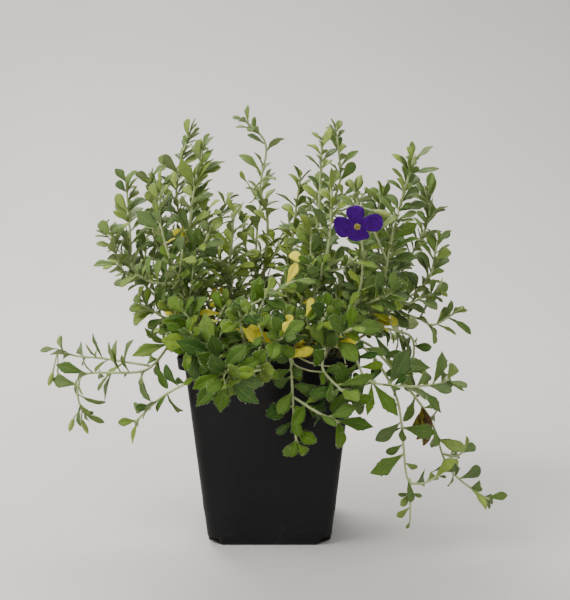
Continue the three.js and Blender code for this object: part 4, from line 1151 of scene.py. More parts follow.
# Where leaves are yellow or withered, seen from the front: across, height, reach and age.
OLD_SPOTS = (
    (-28, 123, 4, 0.45), (-6, 112, 4, 0.5), (0, 109, 3.5, 0.55), (8, 117, 3, 0.5),
    (15, 106, 2.5, 0.8), (37, 112, 3.5, 0.5), (60, 113, 4, 0.4), (2, 93, 3, 0.35),
    (13, 147, 3.5, 0.5), (-47, 158, 3, 0.45), (-49, 118, 4, 0.4), (19, 126, 3, 0.45),
    (76, 68, 5, 0.95),
)
OLD_NEAREST, OLD_FARTHEST = -52, 12
OLD_LONGEST = 15
LOW_YELLOW_SHARE = 0.3

# The flower's pieces. A petal: how wide it is along its length. The others: radii along a line.
PETAL_THICK = 0.42
PETAL_AT = (
    0, 0.05, 0.12, 0.2, 0.28, 0.37, 0.46, 0.55, 0.64, 0.72, 0.79, 0.85, 0.9, 0.94, 0.97, 0.99, 1,
)
PETAL_WIDE = (
    0.2, 0.26, 0.4, 0.55, 0.69, 0.82, 0.93, 1, 1.04, 1.04, 1, 0.92, 0.8, 0.66, 0.49, 0.31, 0.12,
)
THROAT_HALF = 0.45
EYE_LIFT = 0.75
THROAT = ((0, 1.2), (0.3, 2.3), (0.7, 2.3), (1, 1.4))
EYE_DISC = ((0, 1.3), (0.3, 1.6), (0.7, 1.5), (0.92, 1.1), (1, 0.6))
ANTHER = ((0, 0.16), (0.2, 0.42), (0.5, 0.52), (0.8, 0.44), (1, 0.18))
STIGMA = ((0, 0.45), (0.5, 0.5), (0.85, 0.55), (1, 0.3))
SEPAL = ((0, 0.25), (0.12, 0.62), (0.35, 0.85), (0.62, 0.82), (0.85, 0.6), (0.97, 0.3), (1, 0.1))
BUD = ((0, 0.4), (0.08, 0.8), (0.25, 1.2), (0.5, 1.42), (0.72, 1.3), (0.88, 0.85), (0.97, 0.42),
       (1, 0.12))

# Tints: tone, age, underside and frost.
YOUNG_GREEN = (0.8, 0.05, 0, 0)
DRY = (1.0, 0.45, 0, 0)
SEPAL_TINT = (0.62, 0.12, 0.35, 0.5)
BUD_TINT = (0.9, 0.1, 0.55, 0.5)

# A rosette's own leaves are a little narrower than their solids, and young ones fill its middle.
ROSETTE_SLENDER = 0.9
HEART_LEAVES = 9
HEART_SHORTEST = 5
HEART_LONGER = 0.75
HEART_HALF = 0.36

# Dry stalks over the pot's lip in front, and the withered tuft on the lowest trail at the right.
DRY_STALKS_ON = "front_shoot_2"
DRY_STALKS = (
    ((10, -38, 91), (13.5, -45, 102.8), (15.5, -47, 101.6), (22, -49.5, 99.3), (31, -50, 98),
     (38.5, -49.5, 98.3)),
    ((8, -38, 91), (10, -45, 102.4), (11.5, -47, 101), (13, -48, 98.3), (20, -48.8, 95.7),
     (28, -48.8, 95)),
    ((27, -38, 91), (29, -45, 107), (31.6, -49, 108), (35.8, -50, 105.7), (37.4, -51, 99.5)),
)
WITHERED_ON = "trailing_right_3"
WITHERED_AT = (77, -33, 74)
WITHERED_HALF = (3.2, 4.4)
WITHERED_TIPS = ((74, -39, 58), (77, -38, 55), (72, -37, 63), (78, -39, 61))

# Buds that hang from the left trail: where each stalk starts, where its bud does, and its tip.
TRAIL_BUDS_ON = "trailing_left_1"
TRAIL_BUDS = (
    ((-98.5, -9, 67), (-103, -10, 61.4), (-105.2, -12, 54.6)),
    ((-98.5, -9, 67), (-99, -10, 60.5), (-95.3, -12, 53.4)),
    ((-112.6, 2, 95.8), (-115, -1, 84), (-117.4, -2, 76.8)),
    ((-112.6, 2, 95.8), (-112.6, 0, 83.5), (-110.6, -1, 76)),
)

# Leaves placed one by one on a shoot: near which point of its stem each grows, and its tip.
PLACED_SLIMNESS = 0.2
PLACED_LEAVES = {
    "rosette_shoot_1": (
        ((-20, -62, 96), (-5, -66, 84)), ((-20, -62, 96), (-34, -60, 107)),
        ((-20, -62, 96), (-4, -63, 105)), ((-20, -62, 96), (-2.5, -65, 92)),
        ((-20, -62, 96), (-34, -62, 82)),
    ),
    "trailing_right_1": (
        ((49.5, -51, 90), (46.3, -54, 75.5)), ((52.5, -52, 90), (62, -54, 74.5)),
        ((70.6, -50, 88), (84.7, -50, 76)),
    ),
    "trailing_right_2": (
        ((47, -40, 104), (57, -45, 103)), ((52, -42.5, 101), (49.7, -47, 91.7)),
        ((67, -42, 68), (54, -46, 59)),
    ),
    "trailing_right_3": (
        ((56, -33, 100), (67.3, -35, 100.7)), ((60, -33, 95), (80, -34, 93)),
        ((57, -33, 99), (72, -32, 90)),
    ),
    "right_shoot_7": (((54, -26, 110), (61, -32, 97)),),
    "hanging_shoot_1": (((33, -57, 72.4), (50, -60, 71)),),
    "trailing_left_1": (
        ((-53.5, -2, 98), (-72, -6, 95)), ((-53.5, -2, 98), (-65, -6, 109)),
        ((-76, -9, 85), (-82, -9, 98)), ((-82, -9, 85), (-87, -6, 69.5)),
        ((-95, -9, 85), (-111.5, -8, 89.8)), ((-61, -6, 90), (-52.6, -10, 77.9)),
    ),
    "right_shoot_1": (
        ((71, -10.5, 189), (85.6, -12, 192)), ((69, -11, 182), (62.6, -14, 192)),
        ((67, -12, 175), (75.5, -14, 179)), ((64, -12, 166), (73.5, -14, 165.5)),
        ((65, -12, 169), (79.6, -12, 173)), ((62, -13, 152), (75.7, -16, 157.6)),
        ((59, -14, 138), (74, -16, 145.8)),
    ),
    "right_shoot_2": (((84, 19, 163), (94, 8, 170)),),
    "right_shoot_3": (((84, 6, 134), (76, 3, 145)), ((78, 6, 128), (72, 2, 137)),),
    "right_shoot_5": (((96, 10, 111), (107.6, 8, 103.5)), ((90, 12, 108), (99.5, 10, 102)),),
    "left_shoot_2": (((-37, -15, 183), (-28, -18, 197)), ((-39, -15, 170), (-30, -17, 184)),),
    "left_shoot_1": (((-48, 6, 180), (-57, -2, 187)), ((-48, 10, 167), (-59, 4, 172)),),
}


def lies_low_inside(p):
    """Whether a point is low between the stems, where leaves get little light."""
    return p[2] < 112 and abs(p[0]) < 38 and -36 < p[1] < 30


def stands_rich(end):
    """Whether a stem ends among thick leaves: far out at a side, or high at the left."""
    return end[2] > 82 and (end[0] > 55 or end[0] < -58) or end[2] > 195 and end[0] < -30


def stands_airy(p):
    """Whether a point is in the open middle, where few small leaves grow."""
    return -24 < p[0] < 14 and p[1] > -16 and p[2] > 122


def age_of(blade, draw):
    """Yellow where leaves are about to fall, brown in the withered bit, and green elsewhere."""
    x, y, z = blade.point(0.6, 0)
    for at_x, at_z, reach, age in OLD_SPOTS:
        seen = OLD_NEAREST < y < OLD_FARTHEST and blade.length < OLD_LONGEST
        if seen and math.hypot(x - at_x, z - at_z) < reach:
            return min(1.0, age + draw.uniform(-0.08, 0.08))
    if lies_low_inside((x, y, z)) and draw.rand() < LOW_YELLOW_SHARE:
        return draw.uniform(0.35, 0.7)
    return draw.uniform(0.0, 0.12)


def tone_of(blade, draw):
    """Young leaves are paler. Inner ones are painted paler, painted light for light that shines
    through the leaves, and those in front of the rim a deeper green, painted shade.
    """
    x, y, z = blade.root
    # Painted shade: low leaves in front of the rim are made a deeper green.
    front = 0.12 if y < -44 and z < 125 else 0
    # Painted light: leaves in the shaded middle of the plant are made paler.
    inner = 0.35 * max(0, 1 - math.hypot(x + 8, y - 15) / 55) if z < 185 else 0
    tone = 0.3 + 0.15 * blade.young + inner - front + draw.normal(0, 0.24)
    return float(np.clip(tone, 0.0, 1.0))


def frost_of(blade, draw):
    """How much pale down a leaf has: thick high up and far out, thin in front of the rim."""
    x, y, z = blade.root
    front = y < -38 and z < 130 and abs(x) < 52
    outer = z > 155 or abs(x) > 62
    frost = 0.12 if front else 0.9 if outer else 0.55
    return float(np.clip(frost + draw.normal(0, 0.18), 0, 1))


def colour_leaf(blade, draw):
    """Gives a leaf its age, its tone and its frost of down."""
    blade.age, blade.tone = age_of(blade, draw), tone_of(blade, draw)
    blade.frost = frost_of(blade, draw)


def round_stem(path, foot=None):
    """The stem's coarse line, rounded, with its foot in the soil."""
    points = list(path.line)
    if foot:
        points = [(foot[0], foot[1], ROOT_END)] + points
    return np.array(path_through(points, 6).line)


def nearest(line, point):
    """The point of a line of points that is nearest."""
    gap = line - np.array(point)
    return line[np.argmin((gap * gap).sum(1))]


def shift_to(line, blade):
    """How far a leaf's root moves to stand on the rounded stem."""
    return nearest(line, blade.root) - np.array(blade.root)


def put_stem(pile, path, foot, ends, leaves, draw, hairs):
    """A rounded stem with slightly swollen leaf joints, browner near its foot, and short hairs."""
    line = round_stem(path, foot)
    n = len(line)
    share = np.linspace(0, 1, n)
    base, tip = ends
    radii = base + (tip - base) * share
    for blade in leaves:
        gap = np.linalg.norm(line - np.array(blade.root), axis=1)
        radii = radii * (1 + JOINT_SWELL * np.exp(-((gap / JOINT_REACH) ** 2)))
    tone = draw.uniform(0.3, 0.9)
    wood = np.clip(1.25 - share * 2.2, 0, 1) if foot else np.zeros(n)
    wood = wood * draw.uniform(0.5, 1)
    tints = np.stack([np.full(n, tone), wood, np.zeros(n), np.zeros(n)], -1)
    rings = put_tube(pile, line, radii, tints)
    if hairs:
        long = float(np.linalg.norm(np.diff(line, axis=0), axis=1).sum())
        count = int(long * HAIRS_PER_MM)
        i = draw.randint(3 if foot else 0, n - 1, count)
        k = draw.randint(0, STEM_SIDES, count)
        share = draw.rand(count)[:, None]
        roots = rings[i, k] * (1 - share) + rings[i + 1, k] * share
        ways = roots - (line[i] * (1 - share) + line[i + 1] * share)
        put_hairs(pile, roots, ways, draw, STEM_HAIR)
    return line


def put_leaf(pile, blade, line, draw, settings):
    """One of the shoot's own leaves, with hairs on its rim."""
    colour_leaf(blade, draw)
    toothed = blade.length > TOOTHED_FROM
    at, wide = (TOOTHED_AT, TOOTHED_WIDE) if toothed else (PLAIN_AT, PLAIN_WIDE)
    form = (at, wide, FINE_ACROSS, LEAF_THICK)
    edge, over = put_blade(pile, blade, *form, draw, shift_to(line, blade), toothed)
    if settings.hairs:
        hair_rim(pile, edge, over, draw, TOOTHED_HAIRS if toothed else PLAIN_HAIRS)


def put_small_leaf(pile, blade, draw, settings, hairs, shift=(0, 0, 0)):
    """A small leaf, with some hairs on its rim."""
    form = (SMALL_AT, SMALL_WIDE, SMALL_ACROSS, SMALL_THICK)
    edge, over = put_blade(pile, blade, *form, draw, shift)
    if settings.hairs:
        hair_rim(pile, edge, over, draw, hairs)


def put_heart(pile, path, draw, settings):
    """Young downy leaves that close over the middle of a rosette."""
    spot = path.spot(path.length)
    for i in range(HEART_LEAVES):
        length = HEART_SHORTEST + HEART_LONGER * i
        form = (length, length * HEART_HALF, -0.5, 0.3, 0.0)
        blade = Blade(spot, i * GOLDEN_TURN, 14 + 7 * i, LIFT, *form)
        blade.tone, blade.frost = draw.uniform(0.45, 0.7), draw.uniform(0.4, 0.65)
        if inside_box(blade.point(1, 0)):
            put_small_leaf(pile, blade, draw, settings, HEART_HAIRS)


def hair_rim(pile, edge, over, draw, count):
    """Hairs along both edges of a blade."""
    rows = edge.shape[0]
    for column, inner in ((0, 1), (-1, -2)):
        i = draw.randint(2, rows - 1, count)
        share = draw.rand(count)[:, None]
        roots = edge[i, column] * (1 - share) + edge[i + 1, column] * share
        ways = roots - edge[i, inner] + 0.15 * over[i, column]
        put_hairs(pile, roots, ways, draw, RIM_HAIR)


def plant_trails(path):
    """Whether a stem lies out sideways or hangs, with longer joints than an upright one has."""
    end = path.line[-1]
    return end[2] < 100 or path.length > 1.7 * (end[2] - ROOT_TOP + 25)


def fill_leaves(pile, path, plan, owner, crowd, line, draw, settings):
    """Smaller leaves between the shoot's own: singly, in tufts, and crowded at the tip."""
    trails = plant_trails(path)
    end = path.line[-1]
    front = trails and end[1] < -46
    rich = stands_rich(end)
    if trails:
        apart = 1.25 if front else 1.7 if rich else 2.6
        bare = plan.bare * (0.8 if rich else 1)
    else:
        apart = 0.8 if rich else 1
        bare = max(0.05, plan.bare - 0.2)
    step = settings.small_leaf_step * apart
    distance = path.length * bare
    i = 0
    while distance < path.length:
        spot = path.spot(distance)
        u = distance / path.length
        top = math.exp(-(((u - 1) / 0.1) ** 2))
        airy = stands_airy(spot[0])
        tuft = (i % 3 == 0 or top > 0.5) and not airy
        for k in range((2 if trails else 3) if tuft else 1):
            length = draw.uniform(*(TUFT_LENGTH if tuft and k else SMALL_LENGTH))
            length *= (1 - 0.25 * top) * (1.2 if front else 1.15 if rich else 1)
            half = length * draw.uniform(*SMALL_SLIMNESS)
            splay = 64 - 24 * u * u + draw.uniform(-16, 14)
            turn = plan.turn + 60 + i * GOLDEN_TURN + k * 120 + draw.uniform(-25, 25)
            form = (draw.uniform(0.2, 0.9), draw.uniform(0.12, 0.42), draw.uniform(-0.4, 0.5))
            for turned, tipped, scale in FILL_BENDS:
                scaled = (length * scale, half * scale)
                blade = Blade(spot, turn + turned, splay + tipped, LIFT, *scaled, *form)
                points = [blade.point(along, aside * blade.half)
                          for along in (0.4, 0.6, 0.8) for aside in (-0.85, 0, 0.85)]
                points.append(blade.point(1, 0))
                if not inside_box(points[-1]):
                    continue
                if any(meets_pot(p) or crowd.is_near(p, FILL_CLEAR) for p in points):
                    continue
                crowd.settle(points, owner, FILL_CLEAR_OWN)
                blade.young = 0.4 + 0.6 * u
                colour_leaf(blade, draw)
                shift = shift_to(line, blade)
                put_small_leaf(pile, blade, draw, settings, SMALL_HAIRS, shift)
                break
        high = min(1, max(0, (spot[0][2] - 135) / 35)) * (-25 < spot[0][0] < 45)
        distance += step * (1.5 if airy else 1 + 0.4 * high) * (1 - 0.65 * top)
        i += 1


def inside_box(p):
    """Whether a point keeps within the part's own box."""
    low, high = CAD_BOX
    return all(low[i] / MM - 1 < p[i] < high[i] / MM + 1 for i in range(3))


def put_spindle(pile, start, end, profile, sides, tint, lobes=0.0):
    """A closed round body along a line, such as a bud or a sepal."""
    start, end = np.array(start), np.array(end)
    axis = end - start
    line = [start + axis * s for s, r in profile]
    across = np.cross(axis, (0.3, 1, 0.2))
    across /= np.linalg.norm(across)
    beside = np.cross(axis / np.linalg.norm(axis), across)
    swell = (1 + lobes * np.cos(4 * (2 * np.pi * np.arange(sides) / sides)))[:, None]
    rings = [p + r * swell * circle(sides, across, beside) for p, (s, r) in zip(line, profile)]
    aside = np.abs(np.arange(sides) / sides - 0.5)
    uv = [np.stack([aside, np.full(sides, s)], -1) for s, r in profile]
    pile.put(np.concatenate(rings), ring_faces(len(rings), sides), tint, np.concatenate(uv))
    pile.more(end_caps(len(rings), sides), len(rings) * sides)


def put_flower_greens(pile, plant):
    """The flower's stalk, its calyx of four narrow sepals, and the buds over it."""
    facing = flower_frame()[0]
    start = plant.main.spot(plant.main.length * STALK_AT)[0]
    mouth = add(FLOWER_AT, times(facing, -EYE_LIFT))
    heel = add(mouth, times(facing, -CALYX_LENGTH))
    path = path_through([start, STALK_WAY, heel, add(heel, times(facing, 1.5))])
    count = len(path.line)
    put_tube(pile, path.line, [STALK_RADIUS] * count, [YOUNG_GREEN] * count)
    for k in range(4):
        out = flower_way(45 + 90 * k)
        foot = add(heel, times(out, 0.45))
        head = add(mouth, times(out, 1.35))
        put_spindle(pile, foot, head, SEPAL, 10, SEPAL_TINT)
    crown, ahead = plant.main.spot(plant.main.length - 1)
    foot = add(crown, times(ahead, -1.5))
    buds = [(foot, add(foot, times(unit(way), BUD_LENGTH + i)), 0.3)
            for i, way in enumerate(BUD_WAYS)]
    fork = path.spot(path.length * 0.5)[0]
    buds.append((fork, add(fork, times(unit(LONG_BUD_WAY), LONG_BUD_LENGTH)), 0.42))
    for foot, head, share in buds:
        put_bud(pile, foot, add(foot, times(less(head, foot), share)), head)


def put_bud(pile, foot, neck, head):
    """A closed bud on its thin stalk."""
    middle = times(add(foot, neck), 0.5)
    put_tube(pile, [foot, middle, neck], BUD_STALK_RADII, [YOUNG_GREEN] * 3)
    put_spindle(pile, neck, head, BUD, 16, BUD_TINT, lobes=0.06)


def grow_twigs(plant, crowd, draw, count):
    """Short thin twigs from the lower half of a stem, where there is room for one."""
    twigs = []
    main = plant.main
    if plant_trails(main):
        return twigs
    for _ in range(count * TWIG_TRIES):
        if len(twigs) == count:
            break
        start, ahead = main.spot(main.length * draw.uniform(*TWIG_PLACE))
        turned = draw.uniform(0, 2 * math.pi)
        out = unit((math.cos(turned), math.sin(turned) - 0.25, draw.uniform(0.1, 0.7)))
        long = draw.uniform(*TWIG_LENGTH)
        way = unit(add(times(out, 0.75), times(ahead, 0.55)))
        middle = add(start, times(way, long * 0.5))
        end = add(middle, add(times(way, long * 0.42), (0, 0, long * draw.uniform(0.05, 0.25))))
        path = path_through([start, middle, end], 5)
        beyond = path.points(1.2)[3:]
        if any(meets_pot(p) or not inside_box(p) or crowd.is_near(p, TWIG_CLEAR) for p in beyond):
            continue
        crowd.settle(beyond, plant.owner, CLEAR_OWN_STEM)
        twigs.append(path)
    return twigs


def put_dry_stalks(pile):
    """Thin dead stalks that rise from the soil, cross the lip and sag in front of it."""
    for points in DRY_STALKS:
        line = path_through(points, 8).line
        put_tube(pile, line, np.linspace(*DRY_RADII, len(line)), [DRY] * len(line))


def blade_to(path, near, tip, half, curl, fold):
    """The blade that grows where a stem passes nearest to a place, and points at a tip."""
    spots = [path.spot(path.length * share) for share in np.linspace(0.05, 1, 96)]
    spot = min(spots, key=lambda found: math.dist(found[0], near))
    form = (LIFT, 1.04 * math.dist(spot[0], tip), half, curl, fold, 0.0)
    blades = [Blade(spot, 10 * k, 10 * lean, *form) for k in range(36) for lean in range(1, 15)]
    return min(blades, key=lambda made: math.dist(made.point(1, 0), tip))


def put_withered(pile, path, draw):
    """Dead brown leaves that hang, shrivelled, from one place of a stem."""
    for tip in WITHERED_TIPS:
        half = draw.uniform(*WITHERED_HALF)
        curl, fold = draw.uniform(0.5, 1.1), draw.uniform(0.6, 1.1)
        blade = blade_to(path, WITHERED_AT, tip, half, curl, fold)
        blade.age, blade.tone, blade.frost = draw.uniform(0.9, 1), 0.3, 0.2
        put_blade(pile, blade, PLAIN_AT, PLAIN_WIDE, FINE_ACROSS, LEAF_THICK, draw)


def put_placed(pile, name, stems, draw, settings):
    """The leaves of a shoot that are placed one by one, each on the stem that passes nearest."""
    for near, tip in PLACED_LEAVES.get(name, ()):
        path, line = min(stems, key=lambda stem: min(math.dist(p, near) for p in stem[0].line))
        half = PLACED_SLIMNESS * math.dist(near, tip)
        blade = blade_to(path, near, tip, half, draw.uniform(0.2, 0.5), draw.uniform(0.14, 0.4))
        put_leaf(pile, blade, line, draw, settings)


def make_shoot(plant, crowd, materials, settings):
    """One shoot: stem, side shoot, its own leaves and the small ones between them."""
    draw = np.random.RandomState(SHOOT_SEED + plant.owner)
    pile = Pile()
    plan = plant.plan
    foot = (plan.root[0], plan.root[1])
    hairs = settings.hairs
    main = put_stem(pile, plant.main, foot, MAIN_RADII, plant.main_leaves, draw, hairs)
    stems = [(plant.main, main)]
    for blade in plant.main_leaves:
        if plan.rosette:
            blade.half *= ROSETTE_SLENDER
        put_leaf(pile, blade, main, draw, settings)
    if plan.rosette:
        put_heart(pile, plant.main, draw, settings)
    if plant.side:
        side = put_stem(pile, plant.side, None, SIDE_RADII, plant.side_leaves, draw, hairs)
        stems.append((plant.side, side))
        for blade in plant.side_leaves:
            put_leaf(pile, blade, side, draw, settings)
    if plan.flower:
        put_flower_greens(pile, plant)
    if settings.small_leaves:
        same = (draw, settings)
        fill_leaves(pile, plant.main, plan, plant.owner, crowd, main, *same)
        if plant.side:
            fill_leaves(pile, plant.side, plan.side, plant.owner, crowd, side, *same)
        for k, path in enumerate(plant.twigs):
            twig = put_stem(pile, path, None, TWIG_RADII, [], draw, hairs)
            twig_plan = Side(0, (), 0, 12, plan.turn + 77 * k)
            fill_leaves(pile, path, twig_plan, plant.owner, crowd, twig, *same)
    put_placed(pile, plan.name, stems, draw, settings)
    if plan.name == TRAIL_BUDS_ON:
        for bud in TRAIL_BUDS:
            put_bud(pile, *bud)
    if plan.name == DRY_STALKS_ON:
        put_dry_stalks(pile)
    if plan.name == WITHERED_ON:
        put_withered(pile, plant.main, draw)
    return seat(pile.make("grown_" + plan.name, materials), "foliage", plan.name)


def make_petals(settings):
    """Four broad petals on narrow claws, waved at their rims and overlapping a little."""
    draw = np.random.RandomState(PETAL_SEED)
    facing = flower_frame()[0]
    normal = np.array(facing)
    pile = Pile()
    s = np.array(PETAL_AT)[:, None]
    v = np.linspace(-1, 1, 17)[None, :]
    wide = np.array(PETAL_WIDE)[:, None]
    for k, (turn, petal_length, petal_half) in enumerate(PETALS):
        along = np.array(flower_way(turn))
        beside = np.cross(along, normal)
        length = petal_length * settings.petal_size * (0.97 + 0.06 * draw.rand())
        reach = s * length * (1 - 0.05 * np.exp(-((v / 0.22) ** 2)) * (s > 0.9))
        aside = v * wide * petal_half * settings.petal_size
        curl = -0.045 * reach * reach / 6 + 0.05 * reach
        cup = 0.018 * aside * aside * (1 - s)
        ripple = 0.32 * np.sin(7.5 * s + 3.1 * v + k * 1.7) * s * s * np.abs(v)
        ripple = ripple + 0.22 * np.sin(5 * v + k) * s ** 3
        height = curl + cup + ripple + 0.16 * (1 if k % 2 else -1) * s
        middle = (np.array(FLOWER_AT) + along * reach[..., None] + beside * aside[..., None]
                  + normal * height[..., None])
        body = PETAL_THICK * np.sqrt(np.clip(1 - 0.9 * v * v, 0, 1)) * np.ones_like(s)
        top = middle + normal * (body / 2)[..., None]
        bottom = middle - normal * (body / 2)[..., None]
        put_shell(pile, top, bottom, middle, s, v, draw.rand())
    throat = [add(FLOWER_AT, times(facing, lift)) for lift in (-THROAT_HALF, THROAT_HALF)]
    put_spindle(pile, *throat, THROAT, 20, (0.5, 0, 0, 0))
    piece = pile.make("violet_petals", [petal_material(settings)])
    return seat(piece, "petal", "flower_petals")


def make_eye(settings):
    """Six anthers round a green throat."""
    draw = np.random.RandomState(EYE_SEED)
    facing = flower_frame()[0]
    pile = Pile()
    back = add(FLOWER_AT, times(facing, EYE_LIFT))
    front = add(back, times(facing, 0.8))
    put_spindle(pile, back, front, EYE_DISC, 18, (0.15, 0, 0, 0), lobes=0.06)
    for k in range(6):
        out = flower_way(60 * k + 18)
        radius = 1.15 if k % 3 else 0.95
        start = add(back, add(times(out, radius * 0.8), times(facing, 0.4)))
        end = add(start, add(times(facing, 1.15 + 0.2 * draw.rand()), times(out, 0.35)))
        tint = (0.85 + 0.15 * draw.rand(), 0, 0, 0)
        put_spindle(pile, start, end, ANTHER, 12, tint, lobes=0.12)
    middle = add(back, times(facing, 0.6))
    put_spindle(pile, middle, add(middle, times(facing, 0.9)), STIGMA, 12, (0.35, 0, 0, 0))
    piece = pile.make("yellow_eye", [eye_material(settings)])
    return seat(piece, "eye", "flower_eye")


def square_ring(half, z, corner, steps=8):
    """A square with rounded corners at a height, in millimetres, counter-clockwise."""
    ring = []
    for quarter in range(4):
        sx = 1 if quarter in (0, 3) else -1
        sy = 1 if quarter < 2 else -1
        for k in range(steps + 1):
            angle = math.radians(90 * quarter + 90 * k / steps)
            x = sx * (half - corner) + corner * math.cos(angle)
            y = sy * (half - corner) + corner * math.sin(angle)
            ring.append((x, y, z))
    return ring


def loft(name, rings):
    """A closed mesh in metres through rings of equally many points."""
    mesh = bpy.data.meshes.new(name)
    bm = bmesh.new()
    rows = [[bm.verts.new(Vector(p) * MM) for p in ring] for ring in rings]
    around = len(rings[0])
    for a, b in zip(rows, rows[1:]):
        for i in range(around):
            j = (i + 1) % around
            bm.faces.new((a[i], a[j], b[j], b[i]))
    bm.faces.new(list(reversed(rows[0])))
    bm.faces.new(rows[-1])
    bmesh.ops.recalc_face_normals(bm, faces=bm.faces)
    bm.to_mesh(mesh)
    bm.free()
    return linked(name, mesh)


def cut_corners(piece, ease=0.0):
    """Cuts the four drained corners out of a piece, a little larger by an ease."""
    far = FOOT_HALF + 6
    for k in range(4):
        turn = math.radians(90 * k)
        wedge = []
        for reach, z in ((NOTCH_LEG + 6 + ease, -1), (NOTCH_LEG + 4 + ease, FOOT_HEIGHT + ease)):
            flat = ((far, far - reach - 6), (far, far), (far - reach - 6, far))
            wedge.append([(x * math.cos(turn) - y * math.sin(turn),
                           x * math.sin(turn) + y * math.cos(turn), z) for x, y in flat])
        cutter = loft("notch_cutter", wedge)
        cut = piece.modifiers.new("notch", "BOOLEAN")
        cut.operation, cut.solver, cut.object = "DIFFERENCE", "EXACT", cutter
        bpy.context.view_layer.update()
        evaluated = piece.evaluated_get(bpy.context.evaluated_depsgraph_get())
        cut_mesh = bpy.data.meshes.new_from_object(evaluated)
        piece.modifiers.clear()
        piece.data = cut_mesh
        bpy.data.objects.remove(cutter)


def finish(mesh, material):
    """Smooths a mesh and gives it its one material."""
    mesh.materials.clear()
    mesh.materials.append(material)
    mesh.polygons.foreach_set("use_smooth", np.ones(len(mesh.polygons), bool))


def make_pot(settings):
    """A square tapered pot with a folded lip, an inside and four drained corners."""
    lip_foot = POT_HEIGHT - LIP_HEIGHT
    corner, inner = CORNER_ROUND, CORNER_ROUND - WALL
    soft = 0.35
    outline = [
        (BASE_HALF - soft, 0, corner - soft),
        (BASE_HALF, soft, corner),
        (FOOT_HALF, FOOT_HEIGHT, corner),
        (KNEE_HALF - 0.25, KNEE_HEIGHT - 1.6, corner),
        (KNEE_HALF, KNEE_HEIGHT, corner),
        (KNEE_HALF + 0.35, KNEE_HEIGHT + 1.8, corner),
    ]
    for k in range(1, 12):
        z = KNEE_HEIGHT + 1.8 + (lip_foot - KNEE_HEIGHT - 2.6) * k / 11
        share = (z - KNEE_HEIGHT) / (lip_foot - KNEE_HEIGHT)
        half = KNEE_HALF + (WALL_HALF_TOP - KNEE_HALF) * share
        outline.append((half, z, corner))
    outline += [
        (WALL_HALF_TOP, lip_foot - 0.4, corner),
        (WALL_HALF_TOP + 0.4, lip_foot - 0.02, corner),
        (LIP_HALF_BOTTOM - 0.45, lip_foot, corner),
        (LIP_HALF_BOTTOM, lip_foot + 0.45, corner),
        (LIP_HALF_TOP - 0.15, POT_HEIGHT - 1.2, corner),
        (LIP_HALF_TOP, POT_HEIGHT - 0.55, corner),
        (LIP_HALF_TOP - 0.25, POT_HEIGHT - 0.12, corner - 0.2),
        (LIP_HALF_TOP - 0.6, POT_HEIGHT, corner - 0.5),
        (LIP_HALF_TOP - WALL + 0.35, POT_HEIGHT, inner),
        (LIP_HALF_TOP - WALL, POT_HEIGHT - 0.4, inner),
        (LIP_HALF_BOTTOM - WALL, lip_foot + WALL, inner),
        (WALL_HALF_TOP - WALL + 0.4, lip_foot + WALL - 0.1, inner),
        (WALL_HALF_TOP - WALL, lip_foot + WALL - 0.6, inner),
        (KNEE_HALF - WALL, KNEE_HEIGHT, inner),
        (FOOT_HALF - WALL, FOOT_HEIGHT, inner),
        (BASE_HALF - WALL, WALL, inner),
    ]
    piece = loft("nursery_pot", [square_ring(*place) for place in outline])
    cut_corners(piece)
    finish(piece.data, pot_material(settings))
    piece.data.set_sharp_from_angle(angle=math.radians(SHARP_FROM))
    return seat(piece, "pot_plastic", "pot")


def soil_height(x, y):
    """The height of the soil's top, with lumps."""
    share = min(1, max(abs(x), abs(y)) / WALL_HALF_TOP)
    rise = SOIL_EDGE + (SOIL_CROWN - SOIL_EDGE) * (1 - share * share)
    spot = Vector((x * 0.11, y * 0.11, 0.4))
    lump = 1.1 * noise.noise(spot) + 0.6 * noise.noise(spot * 3.1) + 0.35 * noise.noise(spot * 8.3)
    return rise - 0.3 + lump * (1 - share ** 6)


def split_sides(ring, rim):
    """The ring with its four long sides, as they are on the rim, split into short steps."""
    fine = []
    for i, p in enumerate(ring):
        j = (i + 1) % len(ring)
        q = ring[j]
        parts = SOIL_PARTS if math.dist(rim[i], rim[j]) > 20 else 1
        for k in range(parts):
            t = k / parts
            fine.append(tuple(p[n] + (q[n] - p[n]) * t for n in range(3)))
    return fine


def make_soil(settings):
    """Lumpy peat that fills the pot to just under its lip."""
    inner = CORNER_ROUND - WALL
    rings = [
        square_ring(BASE_HALF - WALL - SOIL_GAP, WALL + SOIL_GAP, inner, 4),
        square_ring(FOOT_HALF - WALL - SOIL_GAP, FOOT_HEIGHT, inner, 4),
        square_ring(KNEE_HALF - WALL - SOIL_GAP, KNEE_HEIGHT, inner, 4),
    ]
    walls = len(rings)
    rim = square_ring(WALL_HALF_TOP - WALL - SOIL_EASE, 0, inner, 4)
    inward = tuple(0.97 - 0.97 * (k / SOIL_PARTS) for k in range(SOIL_PARTS))
    for share in (1, 0.995, 0.985) + inward:
        rings.append([(x * share, y * share, 0) for x, y, _ in rim])
    fine = [split_sides(ring, rim) for ring in rings]
    for row in fine[walls:]:
        row[:] = [(x, y, soil_height(x, y)) for x, y, _ in row]
    piece = loft("peat_soil", fine)
    cut_corners(piece, SOIL_EASE)
    finish(piece.data, soil_material(settings))
    return seat(piece, "potting_soil", "soil")


